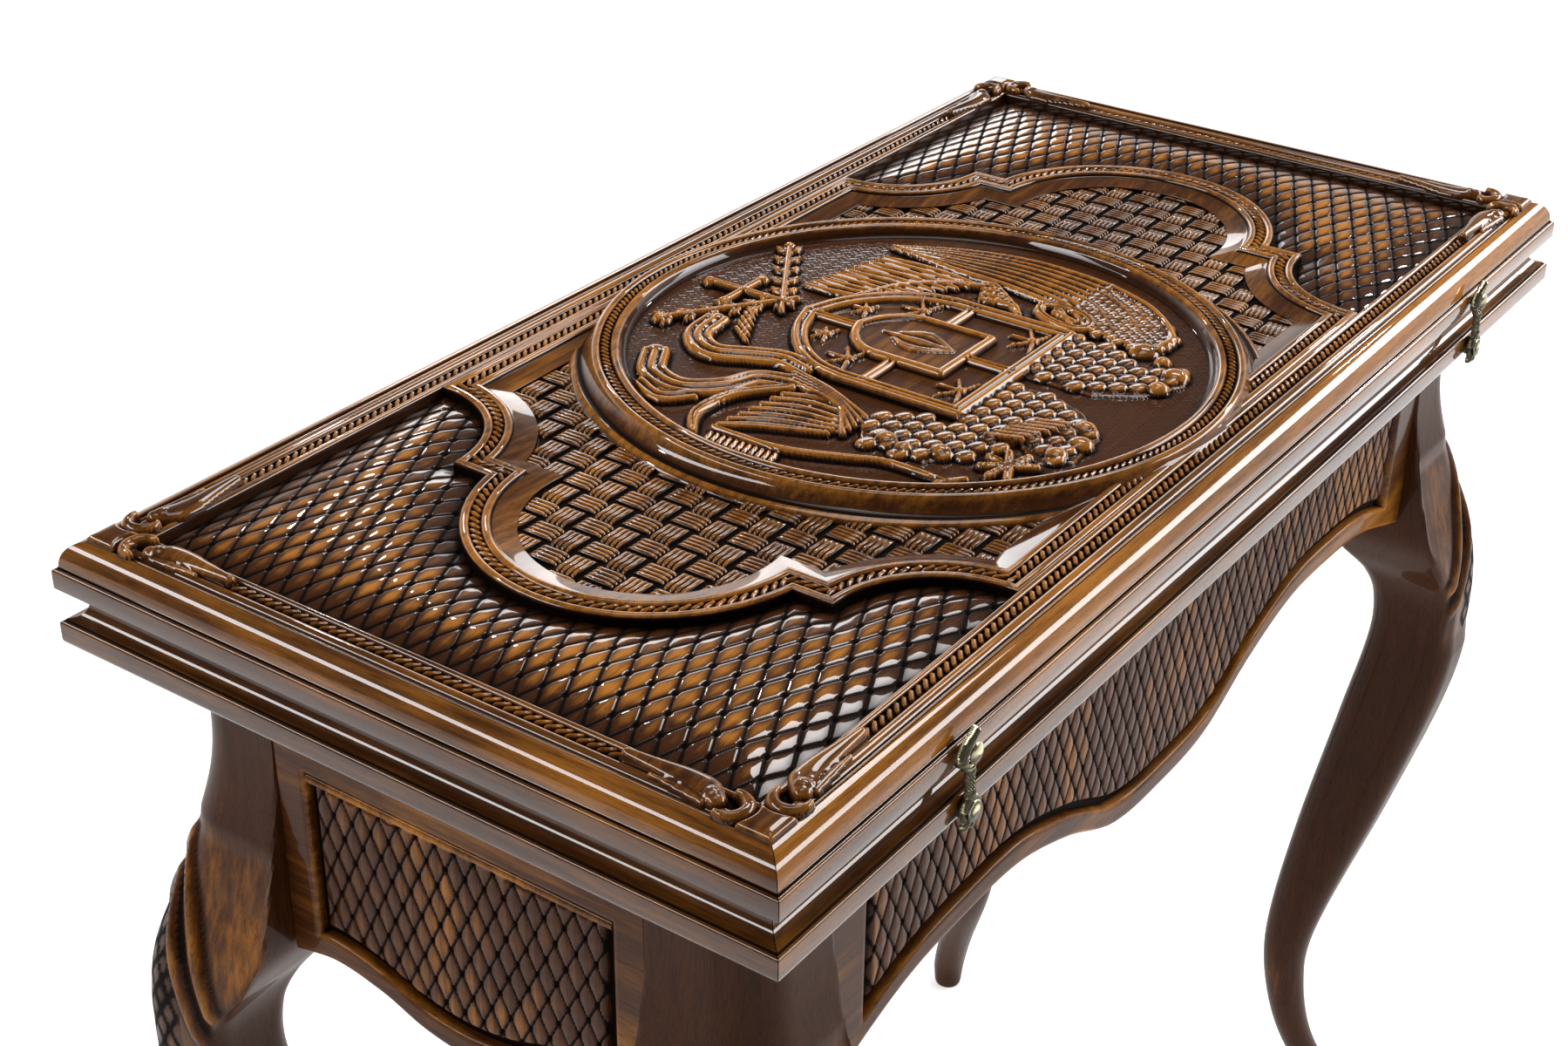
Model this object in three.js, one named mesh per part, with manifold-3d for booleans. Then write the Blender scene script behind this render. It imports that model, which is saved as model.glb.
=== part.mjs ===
// A carved lift-top games table: a shallow tray fixed on a cabriole-leg base, and a matching carved
// lid hinged to it along the back and held shut by two brass hooks. Millimetres, +Z up, origin on the
// floor under the middle of the table, long way along X, hooks at the front (-Y).
import * as THREE from "three";
import { mergeVertices } from "three/addons/utils/BufferGeometryUtils.js";
import Module from "manifold-3d";

const wasm = await Module();
wasm.setup();

// Driving dimensions
const TOP_LENGTH = 800; // over the moulded noses
const TOP_DEPTH = 396;
const NOSE_Z = 765; // top edge of the lid's nose
const BORDER_Z = NOSE_Z + 12.7; // flat border of the carved top
const PARTING_Z = NOSE_Z - 18; // where lid and tray meet
const UNDERSIDE_Z = NOSE_Z - 41; // bottom of the tray
const PARTING_GAP = 0.4;
const RAIL_WIDTH = 31.7; // moulded frames of tray and lid
const BOARD_SKIN = 10; // thickness of the playing boards
const GAP = 0.3; // clearance between touching pieces
const MITRE_GAP = 0.25;

const BASE_Z = UNDERSIDE_Z - 2; // top of legs and aprons
const LEG_CORNER = [365.5, 162.5]; // outer corner of the leg posts before rounding
const POST_SIZE = 56.5;
const APRON_THICK = 20;
const APRON_SETBACK = 1; // aprons stand behind the post faces
const PAD = { x: 337, y: 134, radius: 12 }; // felt pads on the leg posts
const APRON_BAND = 14; // wood left under the lattice panels
const PANEL_TOP_Z = NOSE_Z - 85;
const PANEL_SEAT = 12; // depth of the recess that holds a lattice panel

const HINGE_STANDOFF = 3.6; // hinge axis behind the back nose
const HINGE_Y = TOP_DEPTH / 2 + HINGE_STANDOFF;
const HINGE_X = 250;
const HINGE_LENGTH = 60;
const HINGE_PLATE = 1.5;
const HOOK_X = 272;
const HOOK_PIVOT_Z = NOSE_Z - 33;
const KNOB_Z = NOSE_Z - 5;
const HOOK_REST_DEG = 5.5; // the hooks are drawn this far short of home, swung towards -X
const BRASS_REACH = 7; // hooks and hinges stand proud by this much

const LOBE = { x: 218, r: 82 }; // end lobes of the carved frame, on the rope's centre line
const BITE = { x: 235, y: 164, r: 63 }; // corner bites of the quilted panels
const STEP_X = 228;
const BAND_Y = 159.3;
const BAND_HALF = 7;
const RING = { inner: 150, band: 168 };
const FIELD_X = TOP_LENGTH / 2 - RAIL_WIDTH - GAP;
const FIELD_Y = TOP_DEPTH / 2 - RAIL_WIDTH - GAP;
const BOARD_TOP_Z = NOSE_Z + 5;

const material = (color, roughness, metalness = 0) =>
  new THREE.MeshStandardMaterial({ color, roughness, metalness });
const WALNUT = () => material(0x5a3216, 0.25);
const CARVED = () => material(0x6b3f1c, 0.3);
const PLAYING = () => material(0x7a4a22, 0.35);
const BEECH = () => material(0xb08a5a, 0.6);
const BRASS = () => material(0xb59a4a, 0.3, 1);
const STEEL = () => material(0x8a8c90, 0.35, 1);
const FELT = () => material(0x24452c, 0.95);

const table = new THREE.Group();

// A closed three.js geometry as a manifold-3d solid.
function solid(geometry) {
  const bare = new THREE.BufferGeometry().setAttribute("position", geometry.getAttribute("position").clone());
  if (geometry.index) bare.setIndex(geometry.index.clone());
  const merged = mergeVertices(bare, 1e-4);
  return new wasm.Manifold(
    new wasm.Mesh({
      numProp: 3,
      vertProperties: merged.attributes.position.array,
      triVerts: new Uint32Array(merged.index.array),
    }),
  );
}

// A manifold-3d solid as a three.js geometry.
function shell(made) {
  const mesh = made.getMesh();
  const geometry = new THREE.BufferGeometry();
  geometry.setAttribute("position", new THREE.BufferAttribute(new Float32Array(mesh.vertProperties), 3));
  geometry.setIndex(new THREE.BufferAttribute(new Uint32Array(mesh.triVerts), 1));
  geometry.computeVertexNormals();
  return geometry;
}

function place(name, geometry, finish) {
  const mesh = new THREE.Mesh(geometry, finish);
  mesh.name = name;
  table.add(mesh);
  return mesh;
}

function box(low, high) {
  const size = high.map((value, axis) => value - low[axis]);
  const middle = high.map((value, axis) => (value + low[axis]) / 2);
  return new THREE.BoxGeometry(...size).translate(...middle);
}

// A flat outline (Shape or list of [x, y]) raised from z0 to z1.
function slab(outline, z0, z1, curveSegments = 12) {
  const drawn = outline instanceof THREE.Shape;
  const shape = drawn ? outline : new THREE.Shape(outline.map((p) => new THREE.Vector2(...p)));
  const options = { depth: z1 - z0, bevelEnabled: false, curveSegments };
  return new THREE.ExtrudeGeometry(shape, options).translate(0, 0, z0);
}

// A turned piece: its profile is [radius, height] pairs that start and end on the axis.
function turned(profile, segments = 16) {
  const points = profile.map((p) => new THREE.Vector2(...p));
  return new THREE.LatheGeometry(points, segments).rotateX(Math.PI / 2);
}

// A tube of given radii between two heights on the Z axis.
function cylinder(radius, z0, z1, segments = 16) {
  const rod = new THREE.CylinderGeometry(radius, radius, z1 - z0, segments).rotateX(Math.PI / 2);
  return rod.translate(0, 0, (z0 + z1) / 2);
}

// Rings of equal point counts joined into one closed skin; the flat outline of a ring closes the ends.
function loft(rings, outline) {
  const count = rings[0].length;
  const way = Math.sign(THREE.ShapeUtils.area(outline));
  const cap = THREE.ShapeUtils.triangulateShape(outline, []).map((face) => {
    const along = THREE.ShapeUtils.area(face.map((corner) => outline[corner])) * way > 0;
    return along ? face : face.reverse();
  });
  const index = [];
  for (let ring = 0; ring + 1 < rings.length; ring++) {
    for (let i = 0; i < count; i++) {
      const a = ring * count + i;
      const b = ring * count + ((i + 1) % count);
      index.push(a, b, a + count, b, b + count, a + count);
    }
  }
  const last = (rings.length - 1) * count;
  for (const [a, b, c] of cap) {
    index.push(a, c, b);
    index.push(last + a, last + b, last + c);
  }
  const geometry = new THREE.BufferGeometry().setFromPoints(rings.flat());
  geometry.setIndex(index);
  return geometry;
}

// A smooth curve through [position, value] knots, read at any position.
function smooth(knots, position) {
  let i = 0;
  while (i < knots.length - 2 && position > knots[i + 1][0]) i++;
  const slope = (j) => {
    const before = knots[Math.max(j - 1, 0)];
    const after = knots[Math.min(j + 1, knots.length - 1)];
    return (after[1] - before[1]) / (after[0] - before[0]);
  };
  const [x0, y0] = knots[i];
  const [x1, y1] = knots[i + 1];
  const span = x1 - x0;
  const t = (position - x0) / span;
  const start = (1 + 2 * t) * (1 - t) ** 2 * y0 + t * (1 - t) ** 2 * span * slope(i);
  return start + t * t * (3 - 2 * t) * y1 + t * t * (t - 1) * span * slope(i + 1);
}

// ---- Base ---------------------------------------------------------------------------------------

// Distance of the leg's outer and inner edges from the post corner, along the diagonal, by height.
const LEG_OUTER = [
  [0, 37.5], [20, 38], [60, 21.5], [137, -24.5], [205, -40], [250, -34.5], [355, 3],
  [450, 32.5], [505, 37], [550, 32], [600, 11], [660, -9], [BASE_Z, -11],
];
const POST_INNER = -79.4;
const LEG_INNER = [
  [0, 16.5], [20, 13.5], [60, -4], [137, -47.5], [190, -65], [240, -70], [320, -59.5],
  [420, -39], [480, -27], [512, -29], [532, -39], [550, -57], [572, -75], [590, POST_INNER],
  [BASE_Z, POST_INNER],
];
// Corner roundings of the section: outer corner, the two side corners, inner corner.
const OUTER_ROUND = [[0, 10.5], [137, 12], [250, 17], [355, 22], [450, 25], [BASE_Z, 26]];
const SIDE_ROUND = [[0, 10.5], [137, 12], [250, 15], [450, 16], [520, 13], [560, 6], [590, 1], [BASE_Z, 1]];
const ROUND_CUT = Math.SQRT2 - 1; // what a corner loses along the diagonal, per unit of its radius
const LEG_HEIGHTS = [
  0, 10, 25, 45, 70, 100, 137, 165, 195, 225, 255, 290, 330, 370, 410,
  445, 475, 500, 518, 532, 545, 558, 572, 600, 630, 665, BASE_Z,
];

function legSection(height) {
  const outer = smooth(LEG_OUTER, height);
  const inner = Math.max(smooth(LEG_INNER, height), POST_INNER);
  const rounding = smooth(OUTER_ROUND, height) + smooth(SIDE_ROUND, height);
  const half = (outer - inner + ROUND_CUT * rounding) / (2 * Math.SQRT2);
  const roundOut = Math.min(smooth(OUTER_ROUND, height), half * 0.98);
  const roundSide = Math.min(smooth(SIDE_ROUND, height), half * 0.98);
  const centre = (outer + inner + ROUND_CUT * (roundOut - roundSide)) / (2 * Math.SQRT2);
  const points = [];
  const corners = [[1, 1, roundOut], [-1, 1, roundSide], [-1, -1, roundSide], [1, -1, roundSide]];
  corners.forEach(([sx, sy, round], corner) => {
    for (const turn of [0, 0.5, 1]) {
      const angle = ((corner + turn) * Math.PI) / 2;
      const x = LEG_CORNER[0] + centre + sx * (half - round) + round * Math.cos(angle);
      const y = LEG_CORNER[1] + centre + sy * (half - round) + round * Math.sin(angle);
      points.push(new THREE.Vector3(x, y, height));
    }
  });
  return points;
}

function leg(name, sideX, sideY) {
  const rings = LEG_HEIGHTS.map(legSection);
  if (sideX * sideY < 0) rings.forEach((ring) => ring.reverse());
  rings.forEach((ring) => ring.forEach((point) => point.set(point.x * sideX, point.y * sideY, point.z)));
  place(name, loft(rings, rings[0].map((p) => new THREE.Vector2(p.x, p.y))), WALNUT());
}

// Bottom edges of the aprons from the middle outwards: [distance, height].
const FRONT_EDGE = [[0, 568], [50, 572], [100, 594], [150, 608.5], [200, 609.5], [250, 604.5], [308, 586]];
const END_EDGE = [[0, 559], [25, 562], [50, 570.5], [80, 575], [106, 570]];
const FRONT_STILE = 26; // flat wood between post and lattice panel
const END_STILE = 17;

// Outline of an apron or of its panel recess: flat top and sides, flowing bottom edge.
function apronOutline(edge, halfWidth, top, lift) {
  const mirrored = [...edge.slice(1).reverse().map(([x, z]) => [-x, z]), ...edge];
  const steps = Math.ceil(halfWidth / 11);
  const outline = [];
  for (let i = -steps; i <= steps; i++) {
    const x = (i / steps) * halfWidth;
    outline.push([x, smooth(mirrored, x) + lift]);
  }
  outline.push([halfWidth, top], [-halfWidth, top]);
  return outline;
}

// An apron is drawn upright, its face at y = 0 looking to -Y, then turned to its side of the base.
function apron(name, panelName, edge, halfWidth, stile, distance, angle) {
  const upright = (outline, y0, y1) => slab(outline, -y1, -y0).rotateX(Math.PI / 2);
  const opening = halfWidth - stile;
  const body = solid(upright(apronOutline(edge, halfWidth, BASE_Z, 0), 0, APRON_THICK));
  const recess = upright(apronOutline(edge, opening, PANEL_TOP_Z, APRON_BAND), -1, PANEL_SEAT);
  const board = shell(body.subtract(solid(recess)));
  const panelOutline = apronOutline(edge, opening - GAP, PANEL_TOP_Z - GAP, APRON_BAND + GAP);
  const panel = upright(panelOutline, 0.4, PANEL_SEAT - GAP);
  for (const [node, geometry, finish] of [[name, board, WALNUT()], [panelName, panel, CARVED()]]) {
    place(node, geometry.translate(0, -distance, 0).rotateZ(angle), finish);
  }
}

function cornerBlock(name, sideX, sideY) {
  const post = LEG_CORNER.map((value) => value - POST_SIZE - GAP);
  const wall = LEG_CORNER.map((value) => value - APRON_SETBACK - APRON_THICK - GAP);
  const reach = 46;
  const outline = [
    [post[0], wall[1]], [post[0] - reach, wall[1]], [wall[0], post[1] - reach], [wall[0], post[1]], post,
  ].map(([x, y]) => [x * sideX, y * sideY]);
  if (sideX * sideY < 0) outline.reverse();
  place(name, slab(outline, BASE_Z - 52, BASE_Z - 12), BEECH());
}

const SIDES = { left: -1, right: 1 };
const ENDS = { front: -1, back: 1 };
const APRON_FACE = [LEG_CORNER[0] - APRON_SETBACK, LEG_CORNER[1] - APRON_SETBACK];
const FRONT_HALF = LEG_CORNER[0] - POST_SIZE - GAP;
const END_HALF = LEG_CORNER[1] - POST_SIZE - GAP;

for (const [end, sideY] of Object.entries(ENDS)) {
  for (const [side, sideX] of Object.entries(SIDES)) {
    leg(`leg_${end}_${side}`, sideX, sideY);
    cornerBlock(`corner_block_${end}_${side}`, sideX, sideY);
    const pad = cylinder(PAD.radius, BASE_Z + GAP, UNDERSIDE_Z - GAP);
    place(`felt_pad_${end}_${side}`, pad.translate(sideX * PAD.x, sideY * PAD.y, 0), FELT());
  }
}
apron("apron_front", "lattice_front", FRONT_EDGE, FRONT_HALF, FRONT_STILE, APRON_FACE[1], 0);
apron("apron_back", "lattice_back", FRONT_EDGE, FRONT_HALF, FRONT_STILE, APRON_FACE[1], Math.PI);
apron("apron_right", "lattice_right", END_EDGE, END_HALF, END_STILE, APRON_FACE[0], Math.PI / 2);
apron("apron_left", "lattice_left", END_EDGE, END_HALF, END_STILE, APRON_FACE[0], -Math.PI / 2);

// Fixing: a cross rail between the long aprons, packed up to the tray, takes two bolts that rise
// through it into the tray's board.
const CROSS_RAIL = { halfWidth: 30, top: UNDERSIDE_Z - 8, thick: 20 };
const BOLT = { radius: 5, head: 9.8, headHeight: 6, y: 90, tip: UNDERSIDE_Z + 7 };
const WASHER = { radius: 13, thick: 2 };

// Bores for both fixing bolts, `slack` wider than the bolts.
function drill(made, slack) {
  const bore = (y) => solid(cylinder(BOLT.radius + slack, 0, BOLT.tip + 0.5, 24).translate(0, y, 0));
  return made.subtract(bore(-BOLT.y)).subtract(bore(BOLT.y));
}

function fixing() {
  const inner = APRON_FACE[1] - APRON_THICK - GAP;
  const { halfWidth, top, thick } = CROSS_RAIL;
  const bar = (z0, z1) => solid(box([-halfWidth, -inner, z0], [halfWidth, inner, z1]));
  place("cross_rail", shell(drill(bar(top - thick, top), 0.5)), BEECH());
  place("rail_packing", shell(drill(bar(top + GAP, UNDERSIDE_Z - GAP), 0.5)), BEECH());
  const washerTop = top - thick - GAP;
  const headTop = washerTop - WASHER.thick - GAP;
  for (const [end, sideY] of Object.entries(ENDS)) {
    const y = sideY * BOLT.y;
    const ring = solid(cylinder(WASHER.radius, washerTop - WASHER.thick, washerTop, 24).translate(0, y, 0));
    place(`fixing_washer_${end}`, shell(drill(ring, 0.3)), STEEL());
    const head = solid(cylinder(BOLT.head, headTop - BOLT.headHeight, headTop, 6).translate(0, y, 0));
    const shank = solid(cylinder(BOLT.radius, headTop - 1, BOLT.tip, 24).translate(0, y, 0));
    place(`fixing_bolt_${end}`, shell(head.add(shank)), STEEL());
  }
}
fixing();

// ---- Tray and lid -------------------------------------------------------------------------------

// Mouldings as [inset from the nose, height]: anticlockwise seen along the member.
const UPPER_MOULDING = [
  [0, NOSE_Z - 10], [0, NOSE_Z], [2, NOSE_Z + 1], [3, NOSE_Z + 6], [6.5, NOSE_Z + 10.5], [12, BORDER_Z],
  [RAIL_WIDTH, BORDER_Z], [RAIL_WIDTH, PARTING_Z], [10, PARTING_Z], [8, NOSE_Z - 13],
];
const LOWER_MOULDING = [
  [4, UNDERSIDE_Z], [0, NOSE_Z - 37], [0, NOSE_Z - 27], [3.5, NOSE_Z - 25.5], [7.5, NOSE_Z - 22.5],
  [10, PARTING_Z - PARTING_GAP], [RAIL_WIDTH, PARTING_Z - PARTING_GAP], [RAIL_WIDTH, UNDERSIDE_Z],
];

// One mitred member of a moulded frame: its nose stands `distance` out along -Y before turning.
function mouldedRail(name, profile, distance, halfLength, angle) {
  const corner = (side, [u, z]) => new THREE.Vector3(side * (halfLength - u - MITRE_GAP), u - distance, z);
  const end = (side) => profile.map((point) => corner(side, point));
  const outline = profile.map((p) => new THREE.Vector2(...p));
  place(name, loft([end(1), end(-1)], outline).rotateZ(angle), WALNUT());
}

function mouldedFrame(level, profile) {
  mouldedRail(`${level}_rail_front`, profile, TOP_DEPTH / 2, TOP_LENGTH / 2, 0);
  mouldedRail(`${level}_rail_back`, profile, TOP_DEPTH / 2, TOP_LENGTH / 2, Math.PI);
  mouldedRail(`${level}_rail_right`, profile, TOP_LENGTH / 2, TOP_DEPTH / 2, Math.PI / 2);
  mouldedRail(`${level}_rail_left`, profile, TOP_LENGTH / 2, TOP_DEPTH / 2, -Math.PI / 2);
}

mouldedFrame("upper", UPPER_MOULDING);
mouldedFrame("lower", LOWER_MOULDING);
const board = (z0) => box([-FIELD_X, -FIELD_Y, z0], [FIELD_X, FIELD_Y, z0 + BOARD_SKIN]);
place("upper_board", board(BOARD_TOP_Z - BOARD_SKIN), PLAYING());
place("lower_board", shell(drill(solid(board(UNDERSIDE_Z)), 0.3)), PLAYING());

// Points along the lobed frame, `out` away from the rope's centre line towards the quilting.
function lobedOutline(out, straightTo = 0) {
  const bite = BITE.r - out;
  const step = STEP_X + out;
  const lobe = LOBE.r + out;
  const bandY = BAND_Y + out;
  const arc = (cx, cy, r, from, to, steps) =>
    Array.from({ length: steps + 1 }, (_, i) => {
      const angle = from + ((to - from) * i) / steps;
      return [cx + r * Math.cos(angle), cy + r * Math.sin(angle)];
    });
  const biteFrom = Math.asin((bandY - BITE.y) / bite);
  const biteTo = -Math.acos((BITE.x - step) / bite);
  const lobeFrom = Math.PI - Math.acos((step - LOBE.x) / lobe);
  const upper = [[straightTo, bandY], ...arc(-BITE.x, BITE.y, bite, biteFrom, biteTo, 12)];
  const half = [...upper, ...arc(-LOBE.x, 0, lobe, lobeFrom, Math.PI, 12)];
  const lower = half.slice(0, -1).reverse().map(([x, y]) => [x, -y]);
  return [...half, ...lower];
}

function carvedTop() {
  const seat = BOARD_TOP_Z + GAP;
  const disc = (radius, z0, z1) => solid(cylinder(radius, z0, z1, 64));
  const quiltBlock = solid(box([-FIELD_X, -FIELD_Y, seat], [-BITE.x + BITE.r, FIELD_Y, BORDER_Z - 0.5]));
  const quilt = shell(quiltBlock.subtract(solid(slab(lobedOutline(BAND_HALF + GAP, 60), 0, 1000))));
  const ringWay = disc(RING.band + GAP, 0, 1000);
  const band = solid(slab(lobedOutline(BAND_HALF - GAP), seat, BORDER_Z));
  const well = solid(slab(lobedOutline(-BAND_HALF, 1), 0, 1000));
  const frame = shell(band.subtract(well).subtract(ringWay));
  for (const [side, sideX] of Object.entries(SIDES)) {
    const angle = sideX > 0 ? Math.PI : 0;
    place(`quilted_panel_${side}`, quilt.clone().rotateZ(angle), CARVED());
    place(`lobed_frame_${side}`, frame.clone().rotateZ(angle), CARVED());
  }
  const { inner, band: outer } = RING;
  const profile = [[inner, seat], [outer, seat], [outer, BORDER_Z + 3], [outer - 5, BORDER_Z + 4.5],
    [inner + 5, BORDER_Z + 4.5], [inner, BORDER_Z + 3], [inner, seat]];
  const ring = solid(turned(profile, 64));
  const reach = TOP_DEPTH / 2 - RAIL_WIDTH - 0.6;
  const far = TOP_DEPTH / 2;
  const overRail = (side) => {
    const [y0, y1] = side > 0 ? [reach, far] : [-far, -reach];
    return solid(box([-far, y0, 0], [far, y1, BORDER_Z + GAP]));
  };
  place("medallion_ring", shell(ring.subtract(overRail(1)).subtract(overRail(-1))), CARVED());
}

// The medallion: a flat sunk ground with a generic cartouche, wings and foliage standing on it.
function medallion() {
  const ground = BORDER_Z - 2;
  const relief = BORDER_Z + 4;
  const shield = new THREE.Shape().moveTo(-57, -58).lineTo(57, -58).lineTo(57, 20);
  shield.quadraticCurveTo(50, 56, 0, 72).quadraticCurveTo(-50, 56, -57, 20);
  const rightWing = new THREE.Shape().moveTo(50, -20).lineTo(70, -64).quadraticCurveTo(128, -62, 138, -8);
  rightWing.quadraticCurveTo(120, 62, 62, 78).lineTo(44, 30);
  const leftWing = new THREE.Shape(rightWing.getPoints(5).map((p) => new THREE.Vector2(-p.x, p.y)).reverse());
  const leaves = new THREE.Shape().moveTo(-60, -52).quadraticCurveTo(-70, -112, 0, -122);
  leaves.quadraticCurveTo(70, -112, 60, -52);
  const ribbon = new THREE.Shape().moveTo(80, 62).quadraticCurveTo(84, 108, 0, 134);
  ribbon.quadraticCurveTo(-84, 108, -80, 62);
  let made = solid(cylinder(RING.inner - GAP, BOARD_TOP_Z + GAP, ground, 64));
  for (const shape of [rightWing, leftWing, leaves, ribbon]) {
    made = made.add(solid(slab(shape, ground - 2, relief - 1.5, 5)));
  }
  made = made.add(solid(slab(shield, ground - 2, relief, 5)));
  place("medallion_carving", shell(made), CARVED());
}

// Carved leaf sprays that lap the mitres of the lid's frame.
function cornerCarving(name, sideX, sideY) {
  const x = TOP_LENGTH / 2;
  const y = TOP_DEPTH / 2;
  const outline = [
    [x - 12, y - 14], [x - 12, y - 40], [x - 20, y - 72], [x - 26, y - 72], [x - 30, y - 44],
    [x - 46, y - 30], [x - 74, y - 26], [x - 74, y - 20], [x - 44, y - 12], [x - 18, y - 12],
  ].map(([px, py]) => [px * sideX, py * sideY]);
  if (sideX * sideY > 0) outline.reverse();
  place(name, slab(outline, BORDER_Z + GAP, BORDER_Z + 4.5), CARVED());
}

carvedTop();
medallion();
for (const [end, sideY] of Object.entries(ENDS)) {
  for (const [side, sideX] of Object.entries(SIDES)) {
    cornerCarving(`corner_carving_${end}_${side}`, sideX, sideY);
  }
}

// ---- Brass --------------------------------------------------------------------------------------

const FRONT_NOSE = -TOP_DEPTH / 2;
const BACK_NOSE = TOP_DEPTH / 2;

// Surface hinge bridging the groove between tray and lid: the lower plate carries two knuckles and the
// pin, the upper plate the middle knuckle.
function hinge(side, sideX) {
  const x = sideX * HINGE_X;
  const half = HINGE_LENGTH / 2;
  const knuckle = HINGE_LENGTH / 3;
  const radius = HINGE_STANDOFF - 0.2;
  const barrel = (r, x0, x1) => {
    const rod = new THREE.CylinderGeometry(r, r, x1 - x0, 16).rotateZ(Math.PI / 2);
    return solid(rod.translate(x + (x0 + x1) / 2, HINGE_Y, PARTING_Z));
  };
  const back = BACK_NOSE + GAP;
  const plate = (x0, x1, z0, z1) => solid(box([x + x0, back, z0], [x + x1, back + HINGE_PLATE, z1]));
  const bore = barrel(1.8, -half - 5, half + 5);
  const clear = radius + GAP;
  let lower = plate(-half, half, NOSE_Z - 36.5, PARTING_Z - clear);
  for (const end of [-1, 1]) {
    const inside = end * (knuckle / 2 + GAP / 2);
    const outside = end * half;
    const [x0, x1] = [Math.min(inside, outside), Math.max(inside, outside)];
    lower = lower.add(plate(x0, x1, PARTING_Z - clear - 1, PARTING_Z)).add(barrel(radius, x0, x1));
  }
  const middle = knuckle / 2 - GAP / 2;
  const upper = plate(-half, half, PARTING_Z + clear, NOSE_Z - 0.8)
    .add(plate(-middle, middle, PARTING_Z, PARTING_Z + clear + 1))
    .add(barrel(radius, -middle, middle));
  place(`hinge_plate_lower_${side}`, shell(lower.subtract(bore)), BRASS());
  place(`hinge_plate_upper_${side}`, shell(upper.subtract(bore)), BRASS());
  place(`hinge_pin_${side}`, shell(barrel(1.6, -half, half)), BRASS());
}

// Turned studs stand on the front noses; the hook swings on the lower one and catches the upper.
const STUD = { neck: 2.2, head: 6.2, collar: 5.2 };
const KNOB = { neck: 1.3, head: 4.4, collar: 3.4 };
const PLATE = { back: 2.4, front: 4.9 }; // hook plate, measured out from the nose

function stud(name, x, z, { neck, head, collar }) {
  const profile = [[0, GAP], [collar, GAP], [collar, PLATE.back - 0.3], [neck, PLATE.back - 0.3],
    [neck, PLATE.front + 0.3], [head * 0.8, PLATE.front + 0.3], [head, PLATE.front + 0.9],
    [head * 0.6, BRASS_REACH - 0.2], [0, BRASS_REACH]];
  place(name, turned(profile).rotateX(Math.PI / 2).translate(x, FRONT_NOSE, z), BRASS());
}

function hookArm(name, x) {
  const reach = KNOB_Z - HOOK_PIVOT_Z;
  const lip = 0.9;
  const notch = KNOB.neck + 0.35;
  const outline = [
    [-4.6, -3], [0, -5], [4.6, -3], [4.4, 2.5], [2.2, 6.5], [2.4, reach - 6], [4, reach - notch - 0.8],
    [lip, reach - notch], [-notch, reach - notch], [-notch, reach + notch], [lip, reach + notch],
    [0.6, reach + 4], [-1, reach + 6.5], [-4, reach + 5], [-5.4, reach], [-3.4, reach - 6],
    [-2.2, 6.5], [-4.4, 2.5],
  ];
  const arm = solid(slab(outline, PLATE.back, PLATE.front));
  const eye = solid(cylinder(STUD.neck + 0.3, 0, 10));
  const upright = shell(arm.subtract(eye)).rotateX(Math.PI / 2);
  upright.rotateY((-HOOK_REST_DEG * Math.PI) / 180).translate(x, FRONT_NOSE, HOOK_PIVOT_Z);
  place(name, upright, BRASS());
}

for (const [side, sideX] of Object.entries(SIDES)) {
  hinge(side, sideX);
  stud(`hook_stud_${side}`, sideX * HOOK_X, HOOK_PIVOT_Z, STUD);
  stud(`hook_knob_${side}`, sideX * HOOK_X, KNOB_Z, KNOB);
  hookArm(`hook_arm_${side}`, sideX * HOOK_X);
}

export default table;
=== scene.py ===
"""A carved lift-top games table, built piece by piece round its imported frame."""
import math

import bpy
import numpy as np
from bpy.props import FloatProperty, FloatVectorProperty, IntProperty, PointerProperty
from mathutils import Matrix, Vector


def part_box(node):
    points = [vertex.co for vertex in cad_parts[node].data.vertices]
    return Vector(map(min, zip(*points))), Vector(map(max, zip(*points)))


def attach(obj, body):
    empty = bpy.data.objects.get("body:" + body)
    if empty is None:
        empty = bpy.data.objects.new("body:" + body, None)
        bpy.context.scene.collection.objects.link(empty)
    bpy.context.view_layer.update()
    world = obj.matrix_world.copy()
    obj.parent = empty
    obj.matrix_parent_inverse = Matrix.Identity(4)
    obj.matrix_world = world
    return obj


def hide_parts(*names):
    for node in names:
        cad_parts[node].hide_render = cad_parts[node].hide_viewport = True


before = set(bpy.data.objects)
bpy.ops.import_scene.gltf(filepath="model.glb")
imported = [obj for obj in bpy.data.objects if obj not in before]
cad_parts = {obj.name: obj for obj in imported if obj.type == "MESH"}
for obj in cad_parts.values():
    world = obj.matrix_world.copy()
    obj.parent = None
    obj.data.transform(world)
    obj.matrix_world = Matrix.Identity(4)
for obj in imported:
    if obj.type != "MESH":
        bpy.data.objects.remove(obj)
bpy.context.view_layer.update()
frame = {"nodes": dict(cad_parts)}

bl_info = {
    "name": "Carved games table",
    "version": (1, 0, 0),
    "blender": (4, 5, 0),
    "location": "View3D > Sidebar > Games table",
    "description": "Builds a carved lift-top games table on cabriole legs",
    "category": "Add Mesh",
}

MM = 0.001
SIDES = {"left": -1, "right": 1}
ENDS = {"front": -1, "back": 1}
HALVES = {"left": 0.0, "right": math.pi}  # the right half of the lid is the left one turned round
QUARTER = math.pi / 2
SKIRT_TONE = 0.4

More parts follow.
